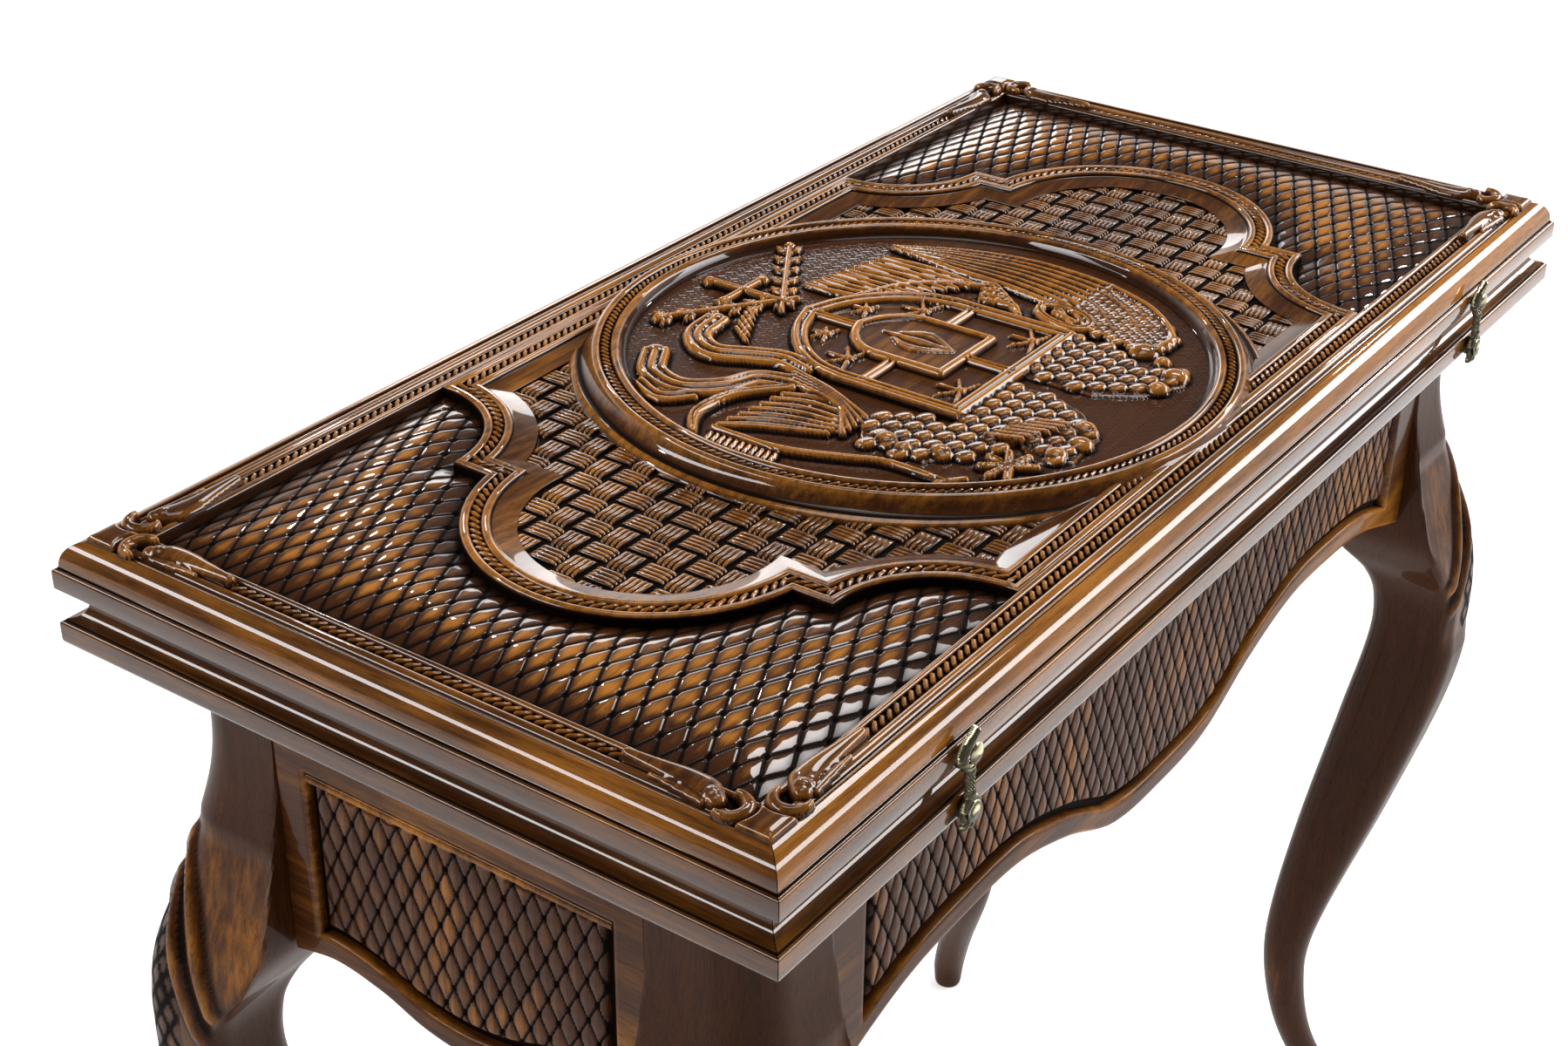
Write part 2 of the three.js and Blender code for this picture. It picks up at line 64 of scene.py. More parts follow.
# Heights and reaches of the frame, in millimetres.
NOSE_X, NOSE_Y = 400.0, 198.0
BORDER_Z = 777.7
SUNK_Z = 770.4  # floor of the lid's sunk field
ROPE_Z = 775.5  # bed of the border rope
PARTING_Z = 747.0
UNDERSIDE_Z = 724.0
BASE_Z = 722.0
FIELD_X, FIELD_Y = 368.0, 166.0
MITRE_GAP = 0.25
LOBE_X, LOBE_R = 218.0, 82.0
BITE_X, BITE_Y, BITE_R = 235.0, 164.0, 63.0
STEP_X, BAND_Y = 228.0, 159.3
LEG_CORNER = (365.5, 162.5)
APRON_FACE = (364.5, 161.5)
APRON_THICK = 20.0
APRON_HALF = {"long": 308.7, "short": 105.7}
APRON_OPENING = {"long": 282.7, "short": 88.7}
APRON_BAND = 14.0
PANEL_TOP_Z = 680.0
LONG_EDGE = [(0, 568), (50, 572), (100, 594), (150, 608.5), (200, 609.5), (250, 604.5), (308, 586)]
SHORT_EDGE = [(0, 559), (25, 562), (50, 570.5), (80, 575), (106, 570)]
HOOK_X, HOOK_PIVOT_Z, KNOB_Z = 272.0, 732.0, 760.0
HOOK_REST = math.radians(5.5)


# ---- Sizes and colours a user may change ---------------------------------------------------------

def a_length(name, description, millimetres):
    return FloatProperty(name=name, description=description, default=millimetres * MM, unit="LENGTH")


def a_colour(name, description, *default):
    return FloatVectorProperty(name=name, description=description, subtype="COLOR", default=default, min=0, max=1)


class TableSizes(bpy.types.PropertyGroup):
    """Sizes of the carving."""
    rope_pitch: a_length("Rope pitch", "Distance between two links of the carved rope", 5.3)
    rope_link: FloatProperty(name="Rope link", description="Size of a rope link against its drawn size",
                             default=1.0, min=0.2, max=3.0)
    quilt_length: a_length("Diamond length", "Long diagonal of a quilted diamond", 25.0)
    quilt_width: a_length("Diamond width", "Short diagonal of a quilted diamond", 12.0)
    weave_x: a_length("Weave pitch along", "Distance between two canes along the table", 15.5)
    weave_y: a_length("Weave pitch across", "Distance between two canes across the table", 16.0)
    lattice_width: a_length("Lattice width", "Width of a diamond on the aprons", 11.2)
    lattice_height: a_length("Lattice height", "Height of a diamond on the aprons", 22.1)
    relief: a_length("Relief", "Height of the medallion's carving above its ground", 5.9)
    screw: a_length("Screw head", "Radius of the small screw heads", 2.6)
    seed: IntProperty(name="Seed", description="Seed of the small hand-cut differences", default=7)


class TableColours(bpy.types.PropertyGroup):
    """Colours of the finishes."""
    # dark is painted shade: the colour that cuts and hollows darken to where the tone attribute is low
    dark: a_colour("Painted shade in the cuts", "Colour of the painted shade in the cuts and hollows", 0.0045, 0.0020, 0.0010)
    walnut: a_colour("Walnut", "Colour of the plain walnut", 0.064, 0.0190, 0.0042)
    # amber is partly painted light, on crowns where tone is high, and partly rubbed wear, in random clouds
    amber: a_colour("Amber walnut", "Colour of the walnut on lit crowns and where it is rubbed through", 0.47, 0.175, 0.022)
    board: a_colour("Board", "Colour of the plain boards inside", 0.24, 0.11, 0.045)
    beech: a_colour("Beech", "Colour of the hidden beech", 0.50, 0.31, 0.15)
    brass: a_colour("Brass", "Colour of the rubbed brass", 0.66, 0.60, 0.38)
    felt: a_colour("Felt", "Colour of the felt pads", 0.02, 0.09, 0.04)
    floor: a_colour("Floor", "Colour of the studio floor", 0.90, 0.90, 0.90)


# ---- Shader maths --------------------------------------------------------------------------------

class Value:
    """A number socket in a node tree that can be written in an expression."""

    def __init__(self, tree, socket):
        self.tree = tree
        self.socket = socket

    def math(self, operation, *values):
        node = self.tree.nodes.new("ShaderNodeMath")
        node.operation = operation
        for slot, value in zip(node.inputs, values):
            plug(self.tree, value, slot)
        return Value(self.tree, node.outputs[0])

    def __add__(self, other): return self.math("ADD", self, other)
    def __radd__(self, other): return self.math("ADD", other, self)
    def __sub__(self, other): return self.math("SUBTRACT", self, other)
    def __rsub__(self, other): return self.math("SUBTRACT", other, self)
    def __mul__(self, other): return self.math("MULTIPLY", self, other)
    def __rmul__(self, other): return self.math("MULTIPLY", other, self)

    def between(self, low, high):
        """0 below low, 1 above high and smooth between."""
        node = self.tree.nodes.new("ShaderNodeMapRange")
        node.interpolation_type = "SMOOTHSTEP"
        for slot, value in zip(node.inputs, (self, low, high, 0.0, 1.0)):
            plug(self.tree, value, slot)
        return Value(self.tree, node.outputs[0])


def plug(tree, value, slot):
    """Links a socket to an input, or sets the input to a plain value."""
    value = value.socket if isinstance(value, Value) else value
    if isinstance(value, bpy.types.NodeSocket):
        tree.links.new(value, slot)
    else:
        slot.default_value = value


class Finish:
    """One material while it is being made."""

    def __init__(self, name):
        self.material = bpy.data.materials.new(name)
        self.material.use_nodes = True
        self.tree = self.material.node_tree
        self.shader = self.tree.nodes["Principled BSDF"]
        self.place = self.node("ShaderNodeTexCoord").outputs["Object"]

    def node(self, kind, settings=None, inputs=None):
        """Any node: settings are its own properties, inputs the values or links of its sockets."""
        made = self.tree.nodes.new(kind)
        for key, value in (settings or {}).items():
            setattr(made, key, value)
        for key, value in (inputs or {}).items():
            plug(self.tree, value, made.inputs[key])
        return made

    def value(self, node, output=0):
        return Value(self.tree, node.outputs[output])

    def attribute(self, name):
        return self.value(self.node("ShaderNodeAttribute", {"attribute_name": name}), "Fac")

    def noise(self, scale, stretch=(1, 1, 1), detail=3.0, rough=0.5):
        """Noise of `scale` per metre over the object, stretched along each axis."""
        mapping = self.node("ShaderNodeMapping", inputs={"Vector": self.place, "Scale": stretch})
        made = self.node("ShaderNodeTexNoise", inputs={
            "Vector": mapping.outputs[0], "Scale": scale, "Detail": detail, "Roughness": rough})
        return self.value(made, "Fac")

    def blend(self, factor, first, second):
        """The first colour where the factor is 0 and the second where it is 1."""
        node = self.node("ShaderNodeMix", {"data_type": "RGBA"})
        colours = [s for s in node.inputs if s.type == "RGBA"]
        plug(self.tree, factor, node.inputs[0])
        for slot, value in zip(colours, (first, second)):
            plug(self.tree, (*value, 1.0) if isinstance(value, tuple) else value, slot)
        return [s for s in node.outputs if s.type == "RGBA"][0]

    def bump(self, height, strength, distance):
        node = self.node("ShaderNodeBump", inputs={"Height": height, "Strength": strength, "Distance": distance})
        plug(self.tree, node.outputs[0], self.shader.inputs["Normal"])

    def set(self, **sockets):
        for key, value in sockets.items():
            plug(self.tree, value, self.shader.inputs[key.replace("_", " ")])
        return self.material


STRETCH = {"x": (0.06, 1, 1), "y": (1, 0.06, 1), "z": (1, 1, 0.06)}
LONG_STRETCH = {"x": (0.3, 1, 1), "y": (1, 0.3, 1), "z": (1, 1, 0.3)}


def lacquered(name, colours, along, polish, rubbed, figure):
    """Stained walnut under gloss lacquer. The attribute `tone` is 0 in a cut and 1 on a crown: low tone is painted
    shade that goes near black, high tone painted light that warms towards amber, on top of random rubbed clouds.

    polish is the strength of the lacquer, rubbed how far the walnut turns amber, on lit crowns as painted light and
    in clouds as rubbed wear, and figure how cloudy it is.
    """
    finish = Finish(name)
    tone = finish.attribute("tone")
    grain = finish.noise(260, STRETCH[along], 4.0, 0.6)
    pores = finish.noise(1400, STRETCH[along], 2.0, 0.7)
    cloud = finish.noise(15, LONG_STRETCH[along], 2.0, 0.5)
    patch = finish.noise(55, LONG_STRETCH[along], 3.0, 0.6)
    uneven = (cloud - 0.5) * figure + (patch - 0.5) * 0.7 + (grain - 0.5) * 0.9
    # Amber from high tone is painted light on the crowns, amber from the noise is rubbed wear
    warm = (tone * 1.8 - 0.84 + uneven) * rubbed
    base = finish.blend(warm.between(0.0, 1.0), tuple(colours.walnut), tuple(colours.amber))
    streaks = (0.50 + grain * 0.7) * (0.62 + pores.between(0.3, 0.6) * 0.43)
    # Low tone darkens the colour towards the cut colour: painted shade in the cuts and hollows
    shade = (tone * 2.0).between(0.0, 1.0) * streaks
    colour = finish.blend(shade.between(0.0, 0.95), tuple(colours.dark), base)
    finish.bump(grain * 0.5 + pores * 0.25 + patch * 0.4, 0.10, 0.0005)
    rough = 0.36 + (patch - 0.5) * 0.10 + (1 - tone.between(0.0, 0.5)) * 0.25
    coat = (0.01 + tone.between(0.08, 0.50) * 0.99) * polish
    return finish.set(Base_Color=colour, Roughness=rough, Coat_Weight=coat, Coat_Roughness=0.035, Coat_IOR=1.5,
                      Specular_IOR_Level=0.03)


def plain_wood(name, colour, rough, coat):
    """Uncarved wood with its grain along the table."""
    finish = Finish(name)
    grain = finish.noise(180, STRETCH["x"], 5.0, 0.6)
    rings = finish.noise(30, STRETCH["x"], 2.0, 0.5)
    dark = tuple(c * 0.5 for c in colour)
    mixed = finish.blend((grain * 0.7 + rings * 0.5).between(0.35, 0.85), dark, tuple(colour))
    finish.bump(grain, 0.15, 0.0005)
    rough = rough + (grain - 0.5) * 0.15
    return finish.set(Base_Color=mixed, Roughness=rough, Coat_Weight=coat, Coat_Roughness=0.1)


def aged_brass(colours):
    """Brass that goes near black where its tone is low, painted shade in its hollows and on its undersides, with
    random tarnish.
    """
    finish = Finish("aged_brass")
    tone = finish.attribute("tone")
    tarnish = finish.noise(420, detail=5.0, rough=0.65)
    spots = finish.noise(1500, detail=2.0)
    # Painted light and shade: the brass is bright where tone is high and near black where it is low, broken up by
    # random tarnish
    lit_and_clean = (tone + (tarnish - 0.5) * 0.6).between(0.30, 0.9)
    hollows = tuple(c * share for c, share in zip(colours.brass, (0.07, 0.06, 0.04)))
    colour = finish.blend(lit_and_clean, hollows, tuple(colours.brass))
    finish.bump(tarnish + spots * 0.4, 0.15, 0.0003)
    return finish.set(Base_Color=colour, Metallic=0.6 + lit_and_clean * 0.4, Roughness=0.34 - lit_and_clean * 0.18)


def plain_steel():
    finish = Finish("steel")
    brushed = finish.noise(900, (1, 1, 0.1), 3.0)
    colour = finish.blend(brushed, (0.33, 0.34, 0.36), (0.55, 0.56, 0.58))
    finish.bump(brushed, 0.1, 0.0002)
    return finish.set(Base_Color=colour, Metallic=1.0, Roughness=0.28 + brushed * 0.15)


def felted(colours):
    finish = Finish("felt")
    fibre = finish.noise(2600, detail=3.0, rough=0.7)
    colour = finish.blend(fibre, tuple(c * 0.5 for c in colours.felt), tuple(c * 1.5 for c in colours.felt))
    finish.bump(fibre, 0.6, 0.0006)
    return finish.set(Base_Color=colour, Roughness=0.95, Sheen_Weight=0.3)


MATERIALS = {}
# Strength of the lacquer, how far it turns amber, as painted light on crowns and as rubbing, and how cloudy it is.
LACQUERS = {"walnut": (1.0, 0.8, 1.5), "carved": (0.85, 1.0, 0.9), "base": (0.24, 0.85, 1.9)}


def finishes(colours):
    """All finishes, made once."""
    if not MATERIALS:
        for wood, lacquer in LACQUERS.items():
            for along in "xyz":
                name = f"{wood}_{along}"
                MATERIALS[name] = lacquered(name, colours, along, *lacquer)
        MATERIALS["board"] = plain_wood("board", colours.board, 0.38, 0.3)
        MATERIALS["beech"] = plain_wood("beech", colours.beech, 0.6, 0.0)
        MATERIALS["brass"] = aged_brass(colours)
        MATERIALS["steel"] = plain_steel()
        MATERIALS["felt"] = felted(colours)


# ---- Mesh helpers --------------------------------------------------------------------------------

def smooth_curve(knots, at):
    """Cubic Hermite curve through (position, value) knots."""
    x, y = np.array(knots, float).T
    slope = np.empty(len(x))
    slope[1:-1] = (y[2:] - y[:-2]) / (x[2:] - x[:-2])
    slope[0] = (y[1] - y[0]) / (x[1] - x[0])
    slope[-1] = (y[-1] - y[-2]) / (x[-1] - x[-2])
    at = np.asarray(at, float)
    i = np.clip(np.searchsorted(x, at, side="right") - 1, 0, len(x) - 2)
    span = x[i + 1] - x[i]
    t = (at - x[i]) / span
    start = (1 + 2 * t) * (1 - t) ** 2 * y[i] + t * (1 - t) ** 2 * span * slope[i]
    return start + t * t * (3 - 2 * t) * y[i + 1] + t * t * (t - 1) * span * slope[i + 1]


def grid(rows, cols, wrap=False):
    """Quads of a grid of points stored row by row; wrap joins the last column to the first."""
    i, j = np.meshgrid(np.arange(rows - 1), np.arange(cols if wrap else cols - 1), indexing="ij")
    a = i * cols + j
    b = i * cols + (j + 1) % cols
    return np.stack([a, b, b + cols, a + cols], -1).reshape(-1, 4)


def carved_part(shown, touching=False):
    """The grid's points that are used and its quads over them, where all corners, or any, are shown."""
    quads = grid(*shown.shape)
    corners = shown.ravel()[quads]
    quads = quads[corners.any(1) if touching else corners.all(1)]
    used, index = np.unique(quads, return_inverse=True)
    return used, index.reshape(-1, 4)


def rims(quads):
    """Open edges of a quad mesh, chained into loops of points."""
    edges = np.concatenate([quads[:, [k, (k + 1) % 4]] for k in range(4)])
    size = int(quads.max()) + 1
    code, back = edges[:, 0] * size + edges[:, 1], edges[:, 1] * size + edges[:, 0]
    open_edges = edges[~np.isin(code, back)]
    follow = {}
    for a, b in open_edges.tolist():
        follow.setdefault(a, []).append(b)
    loops = []
    while follow:
        start = next(iter(follow))
        loop, here = [], start
        while True:
            loop.append(here)
            after = follow[here].pop()
            if not follow[here]:
                del follow[here]
            here = after
            if here == start:
                break
        loops.append(loop)
    return loops


def close_under(points, quads, level, axis=2):
    """Adds a skirt down to `level` along an axis, and a flat back, to an open sheet of quads."""
    points = [points]
    count = len(points[0])
    faces = [quads.tolist()]
    for loop in rims(quads):
        below = points[0][loop].copy()
        below[:, axis] = level
        n = len(loop)
        skirt = [[loop[(k + 1) % n], loop[k], count + k, count + (k + 1) % n] for k in range(n)]
        faces.append(skirt)
        faces.append([[count + k for k in reversed(range(n))]])
        points.append(below)
        count += n
    return np.concatenate(points), [f for group in faces for f in group]


def volume(points, faces):
    total = 0.0
    for face in faces:
        p = points[face]
        total += np.einsum("ij,ij->i", np.cross(p[1:-1], p[2:]), np.broadcast_to(p[0], p[1:-1].shape)).sum()
    return total


def finished(obj, body, nodes=()):
    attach(obj, body)
    if nodes:
        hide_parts(*nodes)


def toned_mesh(name, points, faces, tone, crease):
    """A closed mesh from millimetres; tone is one value, or one per point, less those of a skirt."""
    points = np.asarray(points, float)
    faces = faces.tolist() if isinstance(faces, np.ndarray) else faces
    if volume(points, faces) < 0:
        faces = [face[::-1] for face in faces]
    mesh = bpy.data.meshes.new(name)
    mesh.from_pydata((points * MM).tolist(), [], faces)
    tone = np.atleast_1d(np.asarray(tone, np.float32)).ravel()
    tones = np.full(len(points), tone[0] if len(tone) == 1 else SKIRT_TONE, np.float32)
    if len(tone) > 1:
        tones[:len(tone)] = tone
    mesh.attributes.new("tone", "FLOAT", "POINT").data.foreach_set("value", tones)
    mesh.polygons.foreach_set("use_smooth", [True] * len(mesh.polygons))
    mesh.set_sharp_from_angle(angle=math.radians(crease))
    return mesh


def piece(name, points, faces, material, body, nodes=(), tone=1.0, crease=32.0):
    """A closed mesh in millimetres as a piece on a body, standing for the frame's nodes."""
    mesh = toned_mesh(name, points, faces, tone, crease)
    mesh.materials.append(MATERIALS[material])
    mesh.update()
    obj = bpy.data.objects.new(name, mesh)
    bpy.context.scene.collection.objects.link(obj)
    finished(obj, body, nodes)


def carving(name, points, faces, nodes, tone, crease):
    """A carved piece of the lid."""
    piece(name, points, faces, "carved_x", "lid", nodes, tone, crease)


def turn(points, angle):
    c, s = math.cos(angle), math.sin(angle)
    points = np.array(points, float)
    x, y = points[..., 0].copy(), points[..., 1].copy()
    points[..., 0], points[..., 1] = c * x - s * y, s * x + c * y
    return points


def arc(cx, cy, rx, ry, start, end, steps):
    """Points on an ellipse from one angle to another, in degrees."""
    a = np.radians(np.linspace(start, end, steps + 1))
    return [(cx + rx * math.cos(t), cy + ry * math.sin(t)) for t in a]


def toned(points, tone):
    return [(x, y, tone) for x, y in points]


def tube_faces(rings, sides):
    """Faces of a stack of closed rings with flat ends."""
    faces = grid(rings, sides, wrap=True).tolist()
    faces.append(list(reversed(range(sides))))
    faces.append([(rings - 1) * sides + k for k in range(sides)])
    return faces


# ---- Carved heights ------------------------------------------------------------------------------

def near_stroke(x, y, line, widths):
    """Distance of each point from a bent line, over the line's local width, and the place along it."""
    best = np.full(x.shape, 9.0)
    along = np.zeros(x.shape)
    line = np.asarray(line, float)
    widths = np.interp(np.linspace(0, 1, len(line)), np.linspace(0, 1, len(widths)), widths)
    for k in range(len(line) - 1):
        (ax, ay), (bx, by) = line[k], line[k + 1]
        dx, dy = bx - ax, by - ay
        length = max(dx * dx + dy * dy, 1e-9)
        t = np.clip(((x - ax) * dx + (y - ay) * dy) / length, 0, 1)
        width = widths[k] + (widths[k + 1] - widths[k]) * t
        d = np.hypot(x - ax - t * dx, y - ay - t * dy) / np.maximum(width, 0.05)
        closer = d < best
        best[closer] = d[closer]
        along[closer] = ((k + t) / (len(line) - 1))[closer]
    return best, along


NOTCH_DEPTH = 0.35


class Relief:
    """A height map that carved strokes are raised on."""

    def __init__(self, x, y, ground):
        self.x, self.y = x, y
        self.height = np.array(ground, float) * np.ones(x.shape)

    def near(self, line, reach):
        line = np.asarray(line, float)
        low, high = line.min(0) - reach, line.max(0) + reach
        return (self.x > low[0]) & (self.x < high[0]) & (self.y > low[1]) & (self.y < high[1])

    def raise_to(self, here, within, height):
        """Lifts the points that are `within` to a height, where they are lower."""
        self.height[here] = np.maximum(self.height[here], np.where(within, height, -9.0))

    def stroke(self, line, widths, height, base=0.0, vein=0.0, sides=0.5, notches=0):
        """A rounded ridge along a line, steeper with lower `sides`. vein cuts its middle, notches cut it across."""
        here = self.near(line, max(widths))
        if not here.any():
            return
        d, along = near_stroke(self.x[here], self.y[here], line, widths)
        dome = np.clip(1 - d * d, 0, 1) ** sides
        if vein:
            dome = dome * (1 - vein * np.exp(-((d / 0.22) ** 2)))
        if notches:
            cuts = np.clip(np.cos(2 * math.pi * notches * (along - 0.35 * d)), 0, 1) ** 6
            dome = dome * (1 - NOTCH_DEPTH * cuts)
        self.raise_to(here, d < 1, base + height * dome)

    def bead(self, cx, cy, radius, height, base=0.0):
        here = self.near([(cx, cy)], radius * 1.01)
        d2 = ((self.x[here] - cx) ** 2 + (self.y[here] - cy) ** 2) / radius ** 2
        self.raise_to(here, d2 < 1, base + height * np.clip(1 - d2, 0, 1) ** 0.5)

    def scale(self, cx, cy, radius, height, base):
        """A round-ended scale that rises towards -Y."""
        here = self.near([(cx, cy)], radius * 1.01)
        dx, dy = (self.x[here] - cx) / radius, (self.y[here] - cy) / radius
        d2 = dx * dx + dy * dy
        lift = 0.72 - 0.28 * dy
        self.raise_to(here, d2 < 1, base + height * lift * np.clip(1 - d2 ** 1.5, 0, 1) ** 0.5)


def bezier(points, steps=14):
    """Smooth line through a few points."""
    p = np.asarray(points, float)
    t = np.linspace(0, len(p) - 1, steps * (len(p) - 1) + 1)
    return np.stack([smooth_curve(list(enumerate(p[:, axis])), t) for axis in (0, 1)], -1)


def hollow_tone(height, cell, reach):
    """How far each point of a height map stands above its surroundings, as 0 (cut) to 1 (crown)."""
    blurred = height.copy()
    for _ in range(reach):
        pad = np.pad(blurred, 1, mode="edge")
        blurred = (pad[1:-1, 1:-1] * 2 + pad[:-2, 1:-1] + pad[2:, 1:-1] + pad[1:-1, :-2] + pad[1:-1, 2:]) / 6
    return np.clip(0.5 + (height - blurred) / cell, 0, 1)


# ---- Outline of the lobed frame ------------------------------------------------------------------

def lobed_outline(out, straight_to=0.0, detail=26):
    """Points round the left lobe, `out` away from the rope's middle towards the quilting."""
    bite, step, lobe, band = BITE_R - out, STEP_X + out, LOBE_R + out, BAND_Y + out
    bite_from = math.asin((band - BITE_Y) / bite)
    bite_to = -math.acos((BITE_X - step) / bite)
    lobe_from = math.pi - math.acos((step - LOBE_X) / lobe)
    a = np.linspace(bite_from, bite_to, detail)
    b = np.linspace(lobe_from, math.pi, detail)
    straight = np.linspace(straight_to, -BITE_X + bite * math.cos(bite_from), 8)[:-1]
    upper = [(x, band) for x in straight]
    upper += [(-BITE_X + bite * math.cos(t), BITE_Y + bite * math.sin(t)) for t in a]
    upper += [(-LOBE_X + lobe * math.cos(t), lobe * math.sin(t)) for t in b]
    lower = [(x, -y) for x, y in reversed(upper[:-1])]
    return np.array(upper + lower)


def inside(x, y, outline):
    """True for points within a closed outline."""
    hit = np.zeros(x.shape, bool)
    x1, y1 = outline[-1]
    for x2, y2 in outline:
        if y1 != y2:
            cross = (y < y1) != (y < y2)
            hit ^= cross & (x < (x2 - x1) * (y - y1) / (y2 - y1) + x1)
        x1, y1 = x2, y2
    return hit


def line_distance(x, y, outline):
    best = np.full(x.shape, 1e9)
    for (ax, ay), (bx, by) in zip(outline[:-1], outline[1:]):
        dx, dy = bx - ax, by - ay
        t = np.clip(((x - ax) * dx + (y - ay) * dy) / max(dx * dx + dy * dy, 1e-9), 0, 1)
        best = np.minimum(best, np.hypot(x - ax - t * dx, y - ay - t * dy))
    return best


# ---- Geometry Nodes ------------------------------------------------------------------------------

def new_tree(name, inputs):
    """A geometry tree with a geometry input and output and the named inputs."""
    tree = bpy.data.node_groups.new(name, "GeometryNodeTree")
    tree.interface.new_socket("Geometry", in_out="INPUT", socket_type="NodeSocketGeometry")
    tree.interface.new_socket("Geometry", in_out="OUTPUT", socket_type="NodeSocketGeometry")
    for label, kind, default in inputs:
        socket = tree.interface.new_socket(label, in_out="INPUT", socket_type=kind)
        if default is not None:
            socket.default_value = default
    return tree, tree.nodes.new("NodeGroupInput"), tree.nodes.new("NodeGroupOutput")


def finish_tree(tree, output, instances, start):
    """Realizes the instances and gives them their material."""
    realize = tree.nodes.new("GeometryNodeRealizeInstances")
    paint = tree.nodes.new("GeometryNodeSetMaterial")
    tree.links.new(instances, realize.inputs[0])
    tree.links.new(realize.outputs[0], paint.inputs["Geometry"])
    tree.links.new(start.outputs["Material"], paint.inputs["Material"])
    tree.links.new(paint.outputs[0], output.inputs[0])


def row_tree():
    """Links set along a path at a pitch, each turned to the path."""
    tree, start, output = new_tree("links_along_path", [
        ("Pitch", "NodeSocketFloat", 0.0056), ("Link size", "NodeSocketFloat", 1.0), ("Seed", "NodeSocketInt", 7),
        ("Link", "NodeSocketObject", None), ("Material", "NodeSocketMaterial", None)])
    curve = tree.nodes.new("GeometryNodeMeshToCurve")
    resample = tree.nodes.new("GeometryNodeResampleCurve")
    resample.mode = "LENGTH"
    tangent = tree.nodes.new("GeometryNodeInputTangent")
    align = tree.nodes.new("FunctionNodeAlignRotationToVector")
    align.axis = "X"
    align.pivot_axis = "Z"
    link = tree.nodes.new("GeometryNodeObjectInfo")
    jitter = tree.nodes.new("FunctionNodeRandomValue")
    jitter.data_type = "FLOAT"
    sizes = [s for s in jitter.inputs if s.name in ("Min", "Max") and s.type == "VALUE"]
    sizes[0].default_value, sizes[1].default_value = 0.94, 1.04
    scale = tree.nodes.new("ShaderNodeMath")
    scale.operation = "MULTIPLY"
    place = tree.nodes.new("GeometryNodeInstanceOnPoints")
    join = tree.links.new
    join(start.outputs["Geometry"], curve.inputs[0])
    join(curve.outputs[0], resample.inputs["Curve"])
    join(start.outputs["Pitch"], resample.inputs["Length"])
    join(resample.outputs[0], place.inputs["Points"])
    join(start.outputs["Link"], link.inputs["Object"])
    join(link.outputs["Geometry"], place.inputs["Instance"])
    join(tangent.outputs[0], align.inputs["Vector"])
    join(align.outputs[0], place.inputs["Rotation"])
    join(start.outputs["Seed"], jitter.inputs["Seed"])
    join(start.outputs["Link size"], scale.inputs[0])
    join([s for s in jitter.outputs if s.type == "VALUE"][0], scale.inputs[1])
    join(scale.outputs[0], place.inputs["Scale"])
    finish_tree(tree, output, place.outputs[0], start)
    return tree


def field_tree():
    """A link on every point, turned by the point's own angles."""
    tree, start, output = new_tree("links_on_points", [
        ("Link size", "NodeSocketFloat", 1.0), ("Link", "NodeSocketObject", None), ("Material", "NodeSocketMaterial",
                                                                                    None)])
    angles = tree.nodes.new("GeometryNodeInputNamedAttribute")
    angles.data_type = "FLOAT_VECTOR"
    angles.inputs["Name"].default_value = "turn"
    rotation = tree.nodes.new("FunctionNodeEulerToRotation")
    link = tree.nodes.new("GeometryNodeObjectInfo")
    place = tree.nodes.new("GeometryNodeInstanceOnPoints")
    join = tree.links.new
    join(start.outputs["Geometry"], place.inputs["Points"])
    join(angles.outputs["Attribute"], rotation.inputs[0])
    join(rotation.outputs[0], place.inputs["Rotation"])
    join(start.outputs["Link"], link.inputs["Object"])
    join(link.outputs["Geometry"], place.inputs["Instance"])
    join(start.outputs["Link size"], place.inputs["Scale"])
    finish_tree(tree, output, place.outputs[0], start)
    return tree


TREES = {}


def grow(name, mesh, kind, values):
    """Runs a geometry tree on a mesh and returns the plain result as an object."""
    if kind not in TREES:
        TREES[kind] = {"row": row_tree, "field": field_tree}[kind]()
    tree = TREES[kind]
    seed = bpy.data.objects.new(name + "_path", mesh)
    bpy.context.scene.collection.objects.link(seed)
    modifier = seed.modifiers.new("carving", "NODES")
    modifier.node_group = tree
    for item in tree.interface.items_tree:
        if item.item_type == "SOCKET" and item.in_out == "INPUT" and item.name in values:
            modifier[item.identifier] = values[item.name]
    bpy.context.view_layer.update()
    result = bpy.data.meshes.new_from_object(seed.evaluated_get(bpy.context.evaluated_depsgraph_get()))
    seed.modifiers.remove(modifier)
    bpy.data.objects.remove(seed)
    obj = bpy.data.objects.new(name, result)
    bpy.context.scene.collection.objects.link(obj)
    return obj


def link_object(name, points, faces, tone, crease=40.0):
    """A small mesh, drawn round the origin, that a tree repeats."""
    return bpy.data.objects.new(name, toned_mesh(name, points, faces, tone, crease))


def rope_link(half_width, lean, height, fat):
    """A leaf-shaped strand that crosses the rope's channel on the slant."""
    stations = 7
    points, tone = [], []
    for k in range(stations):
        t = -1 + 2 * k / (stations - 1)
        swell = max(1 - t * t, 0.04) ** 0.75
        cx, cy = lean * math.sin(t * QUARTER), half_width * t
        for angle in (0, 45, 90, 135, 180):
            a = math.radians(angle)
            points.append((cx + fat * swell * math.cos(a), cy, height * (0.35 + 0.65 * swell) * math.sin(a)))
            # Tone: painted light on the strand's upper side, painted shade beneath it
            tone.append(0.2 + 0.62 * max(math.sin(a), 0.0) ** 0.5 * swell ** 0.4)
        points.append((cx, cy, -0.8))
        tone.append(0.0)
    return points, tube_faces(stations, 6), tone


